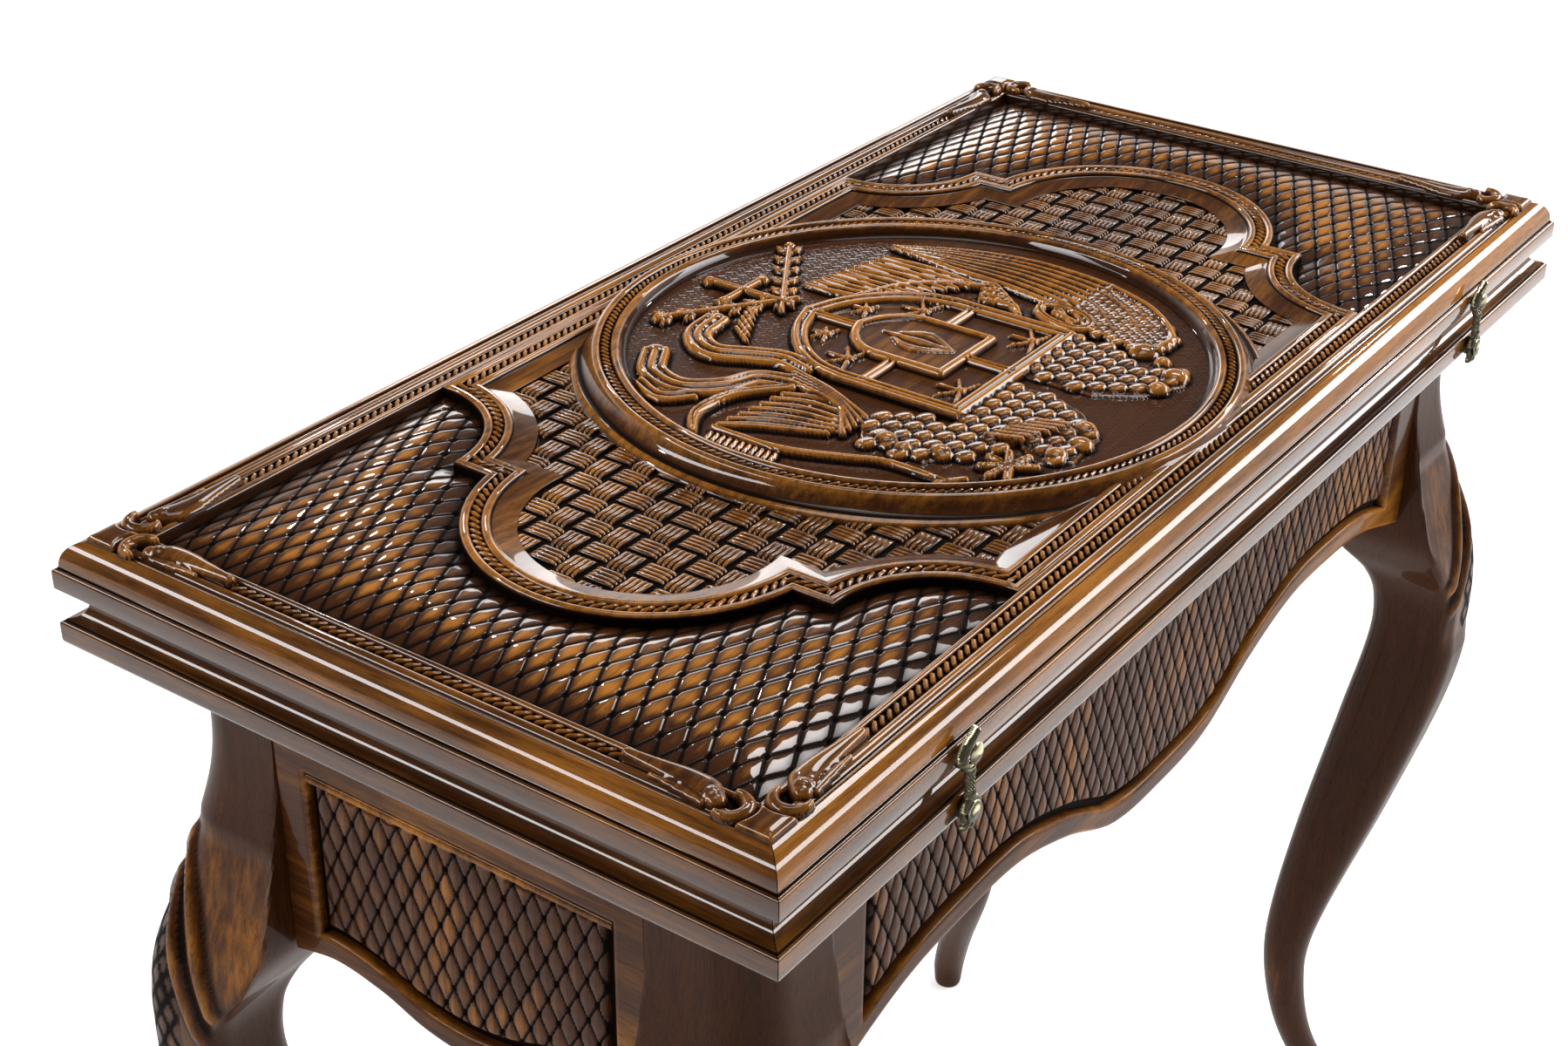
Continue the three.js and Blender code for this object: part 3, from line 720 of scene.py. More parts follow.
def path_mesh(name, points, closed=False):
    """A chain of edges; closed joins its ends."""
    mesh = bpy.data.meshes.new(name)
    count = len(points)
    edges = [(k, k + 1) for k in range(count - 1)] + ([(count - 1, 0)] if closed else [])
    mesh.from_pydata((np.asarray(points) * MM).tolist(), edges, [])
    return mesh


def points_mesh(points, angles):
    """Loose points, each with the angles that its link is turned by."""
    mesh = bpy.data.meshes.new("spots")
    mesh.from_pydata((np.asarray(points) * MM).tolist(), [], [])
    turns = mesh.attributes.new("turn", "FLOAT_VECTOR", "POINT")
    turns.data.foreach_set("vector", np.asarray(angles, np.float32).ravel())
    return mesh


def field(name, points, angles, link, size, material, body):
    """A link on every point, as one piece."""
    values = {"Link size": size, "Link": link, "Material": MATERIALS[material]}
    finished(grow(name, points_mesh(points, angles), "field", values), body)


# ---- Mouldings and ropes -------------------------------------------------------------------------

def rounded_fillet(middle, half, low, rise, tone):
    """A broad rounded fillet as inset, height and tone."""
    points = toned(arc(middle, low, half, rise, 165, 15, 8), tone)
    # The two feet are darker: painted shade where the fillet meets the ground
    points[0] = (*points[0][:2], tone * 0.3)
    points[-1] = (*points[-1][:2], tone * 0.3)
    return points


def lid_profile():
    """Lid moulding as inset, height and tone, from the nose over the top to the groove beneath. Tone is low in the
    grooves and the rope's channel, painted shade, and high on the rounds, painted light.
    """
    points = [(0, 755.6, 0.55)] + toned(arc(1.5, 763.6, 1.5, 1.5, 180, 90, 5), 0.75)
    points += [(2.0, 765.1, 0.1), (2.2, 766.0, 0.05)]
    points += toned(arc(12.4, 766.2, 10.0, 11.5, 180, 90, 14), 0.86)
    points += [(12.9, 777.2, 0.3), (13.1, 775.9, 0.04), (13.6, 775.9, 0.04)]
    points += rounded_fillet(14.5, 0.85, 775.9, 1.1, 0.8) + [(15.5, 775.7, 0.03), (15.9, 775.7, 0.03)]
    points += rounded_fillet(19.0, 2.9, 775.6, 2.1, 0.72) + [(22.1, 775.2, 0.02), (27.7, 775.2, 0.02)]
    points += rounded_fillet(29.7, 1.9, 775.6, 2.1, 0.72)
    points += [(31.7, 775.6, 0.3), (31.7, PARTING_Z, 0.3), (10.0, PARTING_Z, 0.2), (9.6, 749.4, 0.15),
               (8.2, 751.6, 0.2),
               (5.6, 753.3, 0.3), (2.4, 754.3, 0.45), (1.0, 754.7, 0.5), (0.3, 755.0, 0.55)]
    return points


def tray_profile():
    """Tray moulding: bevel, nose, small fillet and the hollow under the parting groove. Tone is low in its grooves,
    painted shade, and high on its rounds, painted light.
    """
    points = [(4.0, UNDERSIDE_Z, 0.4), (0.9, 726.9, 0.5), (0.35, 727.6, 0.6), (0.1, 728.4, 0.6), (0, 729.4, 0.6)]
    points += toned(arc(1.5, 736.6, 1.5, 1.5, 180, 90, 5), 0.7) + [(2.0, 738.1, 0.15), (2.2, 738.9, 0.1)]
    a = np.linspace(0, QUARTER, 10)
    points += toned(list(zip(2.4 + 7.5 * np.sin(a), 739.0 + 7.2 * (1 - np.cos(a)))), 0.6)
    points += [(10.0, 746.6, 0.3), (31.7, 746.6, 0.3), (31.7, UNDERSIDE_Z, 0.3)]
    return points


def moulded_rail(name, profile, distance, half_length, angle, body, along):
    """One mitred member of a moulded frame; the short ones are rubbed less."""
    rings = [[(end * (half_length - u - MITRE_GAP), u - distance, z) for u, z, _ in profile] for end in (1, -1)]
    points = turn(np.array(rings), angle).reshape(-1, 3)
    tone_scale = 1.0 if along == "x" else 0.82
    tone = [t * tone_scale for _, _, t in profile] * 2
    piece(name, points, tube_faces(2, len(profile)), "walnut_" + along, body,
          [name.replace("_moulding", "_rail")], tone, crease=28)


RAIL_SIDES = {"front": (NOSE_Y, NOSE_X, 0, "x"), "back": (NOSE_Y, NOSE_X, math.pi, "x"),
              "right": (NOSE_X, NOSE_Y, QUARTER, "y"), "left": (NOSE_X, NOSE_Y, -QUARTER, "y")}


def make_mouldings():
    for side, (distance, half, angle, along) in RAIL_SIDES.items():
        moulded_rail(f"upper_moulding_{side}", lid_profile(), distance, half, angle, "lid", along)
        moulded_rail(f"lower_moulding_{side}", tray_profile(), distance, half, angle, "base", along)


def rope(name, path, sizes, link, size=1.0, closed=False):
    """A row of links along a path on the lid."""
    values = {"Pitch": sizes.rope_pitch * size, "Link size": sizes.rope_link * size, "Seed": sizes.seed,
              "Link": link, "Material": MATERIALS["carved_x"]}
    finished(grow(name, path_mesh(name, path, closed), "row", values), "lid")


def make_ropes(sizes):
    link = link_object("rope_link", *rope_link(half_width=3.1, lean=2.5, height=1.9, fat=2.15))
    inset, half_x, half_y = 25.1, 322, 120
    x, y = NOSE_X - inset, NOSE_Y - inset
    for side, line in {"front": [(-half_x, -y), (half_x, -y)], "back": [(half_x, y), (-half_x, y)],
                       "right": [(x, -half_y), (x, half_y)], "left": [(-x, half_y), (-x, -half_y)]}.items():
        rope(f"border_rope_{side}", [(px, py, ROPE_Z) for px, py in line], sizes, link)
    for side, angle in HALVES.items():
        line = lobed_outline(0.0, -45.0)
        path = turn(np.column_stack([line, np.full(len(line), ROPE_Z + 0.2)]), angle)
        rope(f"lobed_rope_{side}", path, sizes, link)
    radius, height, count = 161.2, 779.9, 180
    a = np.linspace(0, 2 * math.pi, count + 1)[:-1]
    circle = np.column_stack([radius * np.cos(a), radius * np.sin(a), np.full(count, height)])
    rope("ring_rope", circle, sizes, link, 0.84, closed=True)


# ---- Carved lid ----------------------------------------------------------------------------------

def diamonds(x, y, length, width):
    """Diamond lattice: distance to the nearest line, to the nearest crossing, and a number per diamond."""
    s, t = x / length + y / width, x / length - y / width
    slope = math.hypot(1 / length, 1 / width)
    fs, ft = s - np.floor(s), t - np.floor(t)
    line = np.minimum(np.minimum(fs, 1 - fs), np.minimum(ft, 1 - ft)) / slope
    es, et = s - np.round(s), t - np.round(t)
    node = np.hypot(length * (es + et) / 2, width * (es - et) / 2)
    swell = (1 - np.exp(-((line / (0.2 * width)) ** 1.3))) * (16 * fs * (1 - fs) * ft * (1 - ft)) ** 0.3
    own = np.sin(np.floor(s) * 12.9898 + np.floor(t) * 78.233) * 43758.5453
    return line, node, swell, own - np.floor(own)


def quilted_panel(name, angle, sizes, node):
    """End panel carved as dimpled diamonds, valleys along its borders."""
    xs = np.arange(-FIELD_X - 0.1, -165, 1.08)
    ys = np.linspace(-FIELD_Y - 0.1, FIELD_Y + 0.1, int(2 * FIELD_Y / 0.51))
    x, y = np.meshgrid(xs, ys)
    under_frame = 6.0
    frame_line = lobed_outline(under_frame, -60.0).tolist()
    reach = BAND_Y + under_frame
    shown = ~inside(x, y, np.array([(0.0, reach)] + frame_line + [(0.0, -reach)]))
    line, crossing, swell, own = diamonds(x + 328, y + 107.5, sizes.quilt_length / MM, sizes.quilt_width / MM)
    groove = np.exp(-((line / 0.38) ** 2))
    dimple = np.exp(-((crossing / 1.5) ** 4))
    border = np.minimum(x + FIELD_X, FIELD_Y - np.abs(y))
    edge = np.clip(np.minimum(border, line_distance(x, y, lobed_outline(7.0, -60.0))), 0, None)
    cushion = 1 - np.exp(-((edge / 15.0) ** 1.1))
    # Tone falls within 30 mm of the borders and the lobed frame, darker towards them
    edge_darkening = np.clip(1 - edge / 30.0, 0, 1) ** 1.4
    z = 771.3 + 5.0 * cushion + 0.26 * swell - 0.42 * groove - 1.2 * dimple
    # Tone: painted light on each diamond's dome, random per diamond, painted shade in the grooves and dimples
    tone = (0.50 + 0.46 * swell ** 1.5 + 0.10 * (own - 0.5)) * (1 - 0.80 * edge_darkening)
    tone = np.clip(tone - 1.1 * groove ** 0.65 - 1.3 * dimple, 0, 1)
    used, quads = carved_part(shown)
    points = np.column_stack([x.ravel()[used], y.ravel()[used], z.ravel()[used]])
    points, faces = close_under(turn(points, angle), quads, SUNK_Z - 0.1)
    carving(name, points, faces, [node], tone.ravel()[used], crease=60)


def lobed_profile():
    """Section of the lobed frame: distance out from the rope's middle, height, tone. Tone is low on the walls and in
    the rope's channel, painted shade, and high on the fillets, painted light.
    """
    inner, outer = ([(-out, z, tone) for out, z, tone in rounded_fillet(middle, half, 775.5, 2.2, 0.72)]
                    for middle, half in ((4.8, 2.2), (-4.9, 2.3)))
    channel = [(2.5, 775.2, 0.02), (-2.5, 775.2, 0.02)]
    t = np.linspace(0, 1, 8)
    cove = toned(list(zip(-7.7 - 11.0 * t, 775.2 - 2.5 * t ** 1.1)), 0.55)
    return ([(7.2, SUNK_Z, 0.0), (7.2, 775.0, 0.12)] + outer + channel + inner + [(-7.1, 775.6, 0.1),
                                                                                  (-7.4, 775.3, 0.05)]
            + cove + [(-18.9, 772.4, 0.1), (-19.0, SUNK_Z, 0.0)])


def lobed_frame(name, angle, node):
    """The profile drawn round one half, its ends cut back to the medallion's ring."""
    profile = lobed_profile()
    lines = []
    for out, z, _ in profile:
        start = -math.sqrt(max(0.0, 163.0 ** 2 - (BAND_Y + out) ** 2))
        line = lobed_outline(out, start)
        lines.append(np.column_stack([line, np.full(len(line), z)]))
    points = turn(np.stack(lines, 1), angle)
    stations = points.shape[0]
    tone = [t for _, _, t in profile] * stations
    carving(name, points.reshape(-1, 3), tube_faces(stations, len(profile)), [node], tone, crease=38)


def cane_block(length, width, ribs):
    """One over-strand of the basket weave: parallel ribs that dive at both ends."""
    end = length / 2
    stations = [(-end, -2.0), (0.9 - end, -0.7), (2.6 - end, 0.0), (end - 2.6, 0.0), (end - 0.9, -0.7), (end, -2.0)]
    section = []
    for k in range(ribs):
        for share, rise, shade in ((0.0, 0.0, 0.0), (0.22, 0.8, 0.68), (0.78, 0.8, 0.68)):
            section.append((-width / 2 + (k + share) * width / ribs, rise, shade))
    section.append((width / 2, 0.0, 0.0))
    points, tone = [], []
    for x, drop in stations:
        points += [(x, y, drop + rise) for y, rise, _ in section] + [(x, width / 2, -2.4), (x, -width / 2, -2.4)]
        # Ends that dive under the crossing canes, the valleys between ribs and the sides below get low tone: painted
        # shade
        tone_scale = 0.35 if drop < -1 else 1.0
        tone += [shade * tone_scale for _, _, shade in section] + [0.0, 0.0]
    return points, tube_faces(len(stations), len(section) + 2), tone


def basket(side, angle, sizes, link):
    """Basket-weave ground inside one end of the lobed frame."""
    wall = lobed_outline(-19.5, -70.0)
    count = len(wall)
    top = turn(np.column_stack([wall, np.full(count, SUNK_Z + 0.05)]), angle)
    faces = [list(range(count)), [count + k for k in reversed(range(count))]]
    faces += [[(k + 1) % count, k, count + k, count + (k + 1) % count] for k in range(count)]
    # The ground sheet has tone 0.03: near black, painted shade between the canes
    carving(f"basket_ground_{side}", np.vstack([top, top - (0, 0, 0.3)]), faces, (), 0.03, crease=32)
    pitch_x, pitch_y = sizes.weave_x / MM, sizes.weave_y / MM
    under = 14.0
    wall = lobed_outline(-under, -60.0).tolist()
    limit = np.array([(-60.0, BAND_Y - under)] + wall + [(-60.0, under - BAND_Y)])
    points, angles = [], []
    for i in range(-6, 12):
        for j in range(-10, 11):
            x, y = -237.0 + i * pitch_x, 6.0 + j * pitch_y
            if math.hypot(x, y) < 171 or not inside(np.array([x]), np.array([y]), limit)[0]:
                continue
            across = (i + j) % 2 != 0
            points.append((x, y, 771.3 if across else 771.5))
            angles.append((0.0, 0.0, QUARTER + angle if across else angle))
    field(f"basket_weave_{side}", turn(points, angle), angles, link, 1.0, "carved_x", "lid")


def make_frames(sizes):
    link = link_object("cane", *cane_block(length=16.6, width=11.6, ribs=4), crease=50)
    for side, angle in HALVES.items():
        quilted_panel(f"quilting_{side}", angle, sizes, f"quilted_panel_{side}")
        lobed_frame(f"lobed_band_{side}", angle, f"lobed_frame_{side}")
        basket(side, angle, sizes, link)


def make_ring():
    """Turned ring round the medallion: outer bead and skirt, two fillets with the rope between. Tone is low in the
    rope's channel, in the skirt's valley and on the walls, painted shade, and high on the fillets, painted light.
    """
    profile = [(181.0, 766.0, 0.0), (181.0, 770.6, 0.1), (180.2, 771.9, 0.5), (178.6, 773.3, 0.75),
               (176.8, 774.0, 0.75),
               (175.4, 773.6, 0.1), (174.2, 774.0, 0.1), (172.2, 775.3, 0.5), (170.0, 777.3, 0.6), (168.8, 779.4,
                                                                                                    0.7),
               (168.4, 780.6, 0.8), (167.6, 781.6, 0.74), (166.4, 782.1, 0.74), (165.2, 781.9, 0.72), (164.3, 781.2,
                                                                                                       0.7),
               (163.8, 779.6, 0.02), (158.6, 779.6, 0.02), (158.1, 781.2, 0.7), (157.2, 782.0, 0.74), (155.9, 782.1,
                                                                                                       0.74),
               (154.6, 781.6, 0.7), (153.6, 780.2, 0.5), (152.8, 777.8, 0.25), (151.4, 776.2, 0.3), (149.2, 775.4,
                                                                                                     0.05),
               (149.2, 766.0, 0.0)]
    sides, count = 240, len(profile)
    a = np.linspace(0, 2 * math.pi, sides, endpoint=False)
    points = np.array([[(r * math.cos(t), r * math.sin(t), z) for r, z, _ in profile] for t in a]).reshape(-1, 3)
    i, j = np.meshgrid(np.arange(sides), np.arange(count), indexing="ij")
    after = ((i + 1) % sides) * count
    quads = np.stack([i * count + j, after + j, after + (j + 1) % count, i * count + (j + 1) % count], -1).reshape(-1,
                                                                                                                   4)
    carving("medallion_rim", points, quads, ["medallion_ring"], [t for _, _, t in profile] * sides, crease=35)


def spread(first, last, count):
    """Lines that pass from the first to the last, knot by knot."""
    first, last = np.array(first, float), np.array(last, float)
    return [bezier(first + (last - first) * k / (count - 1), 8) for k in range(count)]


def feathers(relief, first, last, count, half, height, base):
    """Ridges side by side from the first line to the last."""
    for k, line in enumerate(spread(first, last, count)):
        relief.stroke(line, [half * 0.6, half, half, half * 0.5], height, base + 0.25 * (k % 2))


def scales(relief, outline, pitch, radius, height, base):
    """Rows of overlapping scales inside an outline."""
    outline = np.array(outline, float)
    low, high = outline.min(0), outline.max(0)
    for row, y in enumerate(np.arange(low[1], high[1], pitch * 0.82)):
        xs = np.arange(low[0] + pitch * 0.5 * (row % 2), high[0], pitch)
        for x in xs[inside(xs, np.full(len(xs), y), outline)]:
            relief.scale(x, y, radius, height, base)


def ribbon(relief, knots, half, height):
    """Three ridges side by side along a bent line."""
    line = bezier(knots, 10)
    way = np.gradient(line, axis=0)
    way /= np.maximum(np.hypot(*way.T), 1e-6)[:, None]
    normal = np.column_stack([-way[:, 1], way[:, 0]])
    for offset, lift in ((-1, 0.0), (1, 0.3), (0, 0.8)):
        widths = [half * 0.5, half * 0.62, half * 0.62, half * 0.5]
        relief.stroke(line + normal * offset * half, widths, height, 0.4 + lift)


def leaf_spray(relief, start, end, pairs, length, height):
    """A straight stem with pairs of small leaves."""
    start, end = np.array(start, float), np.array(end, float)
    way = (end - start) / np.hypot(*(end - start))
    normal = np.array([-way[1], way[0]])
    for k in range(pairs):
        root = start + (end - start) * (k + 0.6) / pairs
        for sign in (-1, 1):
            tip = root + way * length * 0.8 + sign * normal * length * 0.7
            relief.stroke([root, (root + tip) / 2, tip], [1.2, 3.0, 0.8], height, 0.5, 0.3)
    relief.stroke([start, end], [1.9], height, 1.2)


def arch(half, foot, shoulder, top, middle=0.0):
    """Closed outline of an arched shield whose point lies towards +Y."""
    rise = top - shoulder
    bend = [(1.0, 0.0), (0.93, 0.30), (0.70, 0.62), (0.36, 0.87), (0.0, 1.0)]
    line = [(half, foot)] + bezier([(half * across, shoulder + rise * up) for across, up in bend], 5).tolist()
    left = [(middle - x, y) for x, y in reversed(line[:-1])]
    return [(x + middle, y) for x, y in line] + left + [(half + middle, foot)]


def palmette(relief, cx, cy, reach, unit):
    """A small plain fan of five leaves."""
    for k in range(5):
        a = math.radians(-20 + 55 * k)
        relief.stroke([(cx, cy), (cx + reach * math.cos(a), cy + reach * math.sin(a))], [1.4, 2.8, 1.0], 2.4 * unit,
                      1.5, 0.3)
    relief.bead(cx, cy, 3.2, 3.0 * unit, 1.8)


def cartouche(relief, top):
    """A generic arched shield with a wing, ribbons, leaf sprays and scaled leaves."""
    unit = top / 5.6
    # Great wing on the right: long feathers that meet in one tip, scaled on the shoulder.
    outer = [(84, -102), (121, -64), (132, -4), (123, 42), (103, 82)]
    inner = [(70, -52), (87, -32), (95, 2), (97, 36), (101, 66)]
    feathers(relief, inner, outer, 8, 2.9, 3.2 * unit, 0.4)
    scales(relief, [(70, -60), (88, -44), (112, -40), (124, -44), (112, -78), (90, -104), (70, -104), (64, -92)], 5.6,
           3.7, 2.4 * unit, 2.0)
    relief.stroke(bezier([(126, -46), (112, -78), (88, -102), (70, -103)], 10), [1.8, 2.6, 3.0, 3.4], 4.4 * unit, 0.6)
    relief.bead(66, -97, 8.5, 5.0 * unit)
    # Fan of straight feathers between the shield and the wing.
    feathers(relief, [(35, 58), (32, 76), (31, 92)], [(86, 14), (90, 46), (88, 78)], 11, 2.7, 3.2 * unit, 0.3)
    relief.stroke(bezier([(34, 60), (58, 50), (76, 32), (86, 12)], 8), [2.6], 3.6 * unit, 0.8)
    # Curled shoulder of the wing.
    loop = turn(arc(0, 0, 9.5, 17.5, 0, 360, 28), math.radians(-18)) + (77, -44)
    relief.stroke(loop, [3.2], 3.8 * unit, 1.0, 0.3)
    relief.stroke(turn([(0, -8), (0, 8)], math.radians(-18)) + (77, -44), [2.4], 3.0 * unit, 1.0)
    for k in range(4):
        relief.stroke(bezier([(66 + 5 * k, -22 + 6 * k), (74 + 5 * k, -12 + 6 * k), (70 + 6 * k, 4 + 3 * k)], 6),
                      [2.0, 3.6, 1.8], 3.4 * unit, 1.0, 0.3)
    # Two scaled leaves under the shield, each with a cluster at its tip.
    right_leaf = [(4, -60), (60, -60), (62, -82), (52, -102), (60, -124), (42, -133), (20, -122), (6, -100)]
    left_leaf = [(-8, -60), (-4, -84), (-14, -106), (-34, -126), (-62, -128), (-74, -114), (-62, -98), (-84, -86),
                 (-104, -70), (-104, -34),
                 (-84, -22), (-64, -34), (-64, -60)]
    for outline in (right_leaf, left_leaf):
        relief.height[inside(relief.x, relief.y, np.array(outline))] = 1.2
        scales(relief, outline, 11.0, 5.6, 3.6 * unit, 0.9)
    for x, y, radius in ((48, -124, 8), (30, -124, 6), (58, -112, 5), (-46, -122, 7), (-62, -118, 6), (-30, -116, 6),
                         (-92, -72, 6),
                         (-100, -56, 5), (-96, -44, 6)):
        relief.bead(x, y, radius, 4.6 * unit, 0.8)
    for k in range(7):
        relief.stroke([(-66 + 4.5 * k, -82 - 2 * k), (-60 + 4.5 * k, -98 - 2 * k)], [1.7], 3.6 * unit, 1.6)
    for k in range(7):
        a = math.radians(-60 + 45 * k)
        relief.stroke([(-86, -106), (-86 + 14 * math.cos(a), -106 + 13 * math.sin(a))], [3.0, 4.6, 2.4], 3.8 * unit,
                      0.4, 0.35)
    # Half wing, long stem and comb on the left.
    feathers(relief, [(-132, 30), (-120, 12), (-108, -18)], [(-86, 24), (-80, 4), (-84, -22)], 7, 3.1, 3.2 * unit,
             0.3)
    relief.stroke(bezier([(-147, 34), (-128, 46), (-102, 43), (-79, 24)], 10), [2.2, 3.6, 3.8, 3.0], 4.4 * unit, 0.6,
                  0.3)
    relief.stroke(bezier([(-136, 30), (-135, -8), (-124, -38), (-116, -58), (-116, -92)], 8),
                  [1.8, 2.6, 2.6, 2.2, 1.4], 4.0 * unit)
    for k in range(11):
        relief.stroke([(-148, 26 - 3.8 * k), (-140.5, 27.5 - 3.8 * k)], [1.5], 3.0 * unit)
    for k in range(5):
        relief.stroke(bezier([(-62 - 3 * k, 34 - 2 * k), (-70 - 3 * k, 6 - 3 * k), (-84 - 5 * k, -24)], 8),
                      [1.8, 2.6, 2.0], 3.8 * unit, 0.6)
    relief.stroke([(-118, -88), (-108, -96)], [4.0, 2.0], 3.4 * unit)
    # Ribbons curling up beside the shield.
    ribbon(relief, [(-84, 106), (-104, 92), (-110, 70), (-96, 52), (-80, 44), (-74, 28)], 5.2, 3.6 * unit)
    ribbon(relief, [(-34, 104), (-56, 100), (-68, 82), (-60, 62), (-54, 46), (-58, 28)], 5.2, 3.9 * unit)
    ribbon(relief, [(-112, 60), (-123, 72), (-116, 90)], 4.0, 3.0 * unit)
    relief.bead(-84, 106, 6.5, 4.8 * unit)
    relief.bead(-34, 104, 6.0, 4.8 * unit)
    # Crossed leaf sprays and a staff over the point.
    for k in range(6):
        relief.stroke([(-46 + 6.0 * k, 76 + 3.2 * k), (-36 + 6.0 * k, 90 + 2.4 * k)], [1.4, 3.4, 1.2], 3.0 * unit,
                      0.6, 0.3)
    leaf_spray(relief, (12, 84), (-50, 128), 6, 10, 3.2 * unit)
    leaf_spray(relief, (-6, 82), (66, 128), 6, 10, 3.2 * unit)
    relief.stroke([(3, 82), (3, 134)], [2.0], 4.2 * unit, 0.8)
    relief.stroke([(-14, 114), (20, 114)], [1.9], 4.2 * unit, 0.8)
    for x, y in ((3, 136), (-15, 114), (21, 114), (3, 98), (-52, 129), (68, 129)):
        relief.bead(x, y, 4.2, 4.6 * unit, 0.4)
    # Arched shield, quartered, with a plain arched field over all.
    outline = arch(57.0, -59.0, 12.0, 71.0, 2.0)
    relief.height[inside(relief.x, relief.y, np.array(outline))] = 1.3 * unit
    for cx, cy, reach in ((-32, -46, 13), (40, -46, 13), (-34, 20, 13), (38, 20, 13), (-16, 46, 8), (22, 46, 8)):
        palmette(relief, cx, cy, reach, unit)
    for line in ([(2, -58), (2, -28)], [(2, 38), (2, 70)], [(-54, 0), (-22, 0)], [(26, 0), (58, 0)]):
        for shift in (-1.7, 1.7):
            sideways = (shift, 0) if line[0][0] == line[1][0] else (0, shift)
            relief.stroke(np.array(line) + sideways, [1.6], 3.2 * unit, 1.2)
    inner = arch(25.0, -28.0, 12.0, 38.0, 3.0)
    relief.height[inside(relief.x, relief.y, np.array(inner))] = 3.4 * unit
    for k in range(-1, 2):
        relief.stroke(bezier([(3, -20), (3 + 9 * k, 0), (3 + 4 * k, 22 - 8 * abs(k))], 6), [1.2, 3.6, 1.0],
                      1.1 * unit, 3.4 * unit, 0.3)
    relief.stroke(inner, [2.5], 2.0 * unit, 3.4 * unit)
    for shrink, lift in ((0.0, 4.0), (4.6, 3.4)):
        relief.stroke(arch(57.0 - shrink, -59.0 + shrink, 12.0, 71.0 - shrink, 2.0), [2.5], lift * unit, 1.2)


def make_medallion(sizes):
    """The carving inside the ring, on a tooled ground."""
    line = np.arange(-151.2, 151.3, 0.9)
    x, y = np.meshgrid(line, line)
    relief = Relief(x, y, 0.0)
    cartouche(relief, sizes.relief / MM)
    tooled = 0.12 * np.sin(x * 1.9 + np.sin(y * 0.7)) * np.sin(y * 1.7 + np.sin(x * 0.9))
    ground = relief.height < 0.2
    z = 775.6 + relief.height + np.where(ground, tooled, 0.0)
    # Tone: painted light on the carving's crowns and painted shade in its hollows and on the ground at its feet
    tone = 0.90 * hollow_tone(relief.height, 1.3, 6) + 0.05 * relief.height
    tone = np.where(ground, 0.42 - 1.5 * np.clip(0.41 - tone, 0, 1), tone)
    used, quads = carved_part(np.hypot(x, y) < 151)
    points = np.column_stack([x.ravel()[used], y.ravel()[used], z.ravel()[used]])
    points, faces = close_under(points, quads, SUNK_Z)
    carving("medallion_relief", points, faces, ["medallion_carving"], tone.ravel()[used], crease=62)


def make_corner_carvings():
    """Boss, two crescents and two curled leaves over each mitre, drawn as insets from both noses."""
    line = np.arange(10.0, 92.0, 0.6)
    p, q = np.meshgrid(line, line)
    relief = Relief(p, q, -1.0)
    near, far, bite = 21, 38, 11.2
    d = np.maximum(np.abs(p - 20.5), np.abs(q - 20.5)) / 8.6
    rim = np.minimum(np.hypot(p - far, q - near), np.hypot(p - near, q - far)) - bite
    boss = 3.6 * np.clip(1 - d ** 5, 0, 1) ** 0.5 * np.clip(rim / 1.6, 0, 1) ** 0.5
    relief.height = np.where((d < 1) & (rim > 0), boss, relief.height)
    for swap in (False, True):
        def side(points):
            return [(b, a) for a, b in points] if swap else list(points)
        relief.stroke(side(arc(far, near, 7.6, 7.6, 82, 278, 17)), [1.6, 3.0, 3.3, 3.0, 1.6], 4.0)
        leaf = bezier([(44, 21), (52, 25), (62, 26.2), (74, 25.6), (89, 24.8)])
        relief.stroke(side(leaf), [4.2, 6.8, 5.6, 4.2, 2.8], 3.8)
        relief.stroke(side(bezier([(48, 18), (60, 19.2), (74, 19.4)])), [2.2, 2.4, 1.0], 2.0)
        relief.bead(*side([(47, 22.5)])[0], 5.0, 4.4)
    # Tone: painted shade in the hollows, painted light on the crowns
    tone = np.clip(hollow_tone(np.maximum(relief.height, 0), 2.0, 4) + 0.1, 0, 1)
    used, quads = carved_part(relief.height > 0.0, touching=True)
    for end, sy in ENDS.items():
        for side, sx in SIDES.items():
            points = np.column_stack([sx * (NOSE_X - p.ravel()[used]), sy * (NOSE_Y - q.ravel()[used]),
                                      BORDER_Z + relief.height.ravel()[used].clip(-0.6)])
            made, faces = close_under(points, quads if sx * sy > 0 else quads[:, ::-1], BORDER_Z - 0.9)
            carving(f"corner_leaf_{end}_{side}", made, faces, [f"corner_carving_{end}_{side}"], tone.ravel()[used],
                    crease=60)


# ---- Base ----------------------------------------------------------------------------------------

APRON_SIDES = {"front": ("long", APRON_FACE[1], 0.0, "x"), "back": ("long", APRON_FACE[1], math.pi, "x"),
               "right": ("short", APRON_FACE[0], QUARTER, "y"), "left": ("short", APRON_FACE[0], -QUARTER, "y")}


def apron_edge(kind, x):
    """Height of the lower edge along an apron, the same both ways from its middle."""
    knots = LONG_EDGE if kind == "long" else SHORT_EDGE
    knots = [(-a, b) for a, b in reversed(knots[1:])] + knots
    return smooth_curve(knots, x)


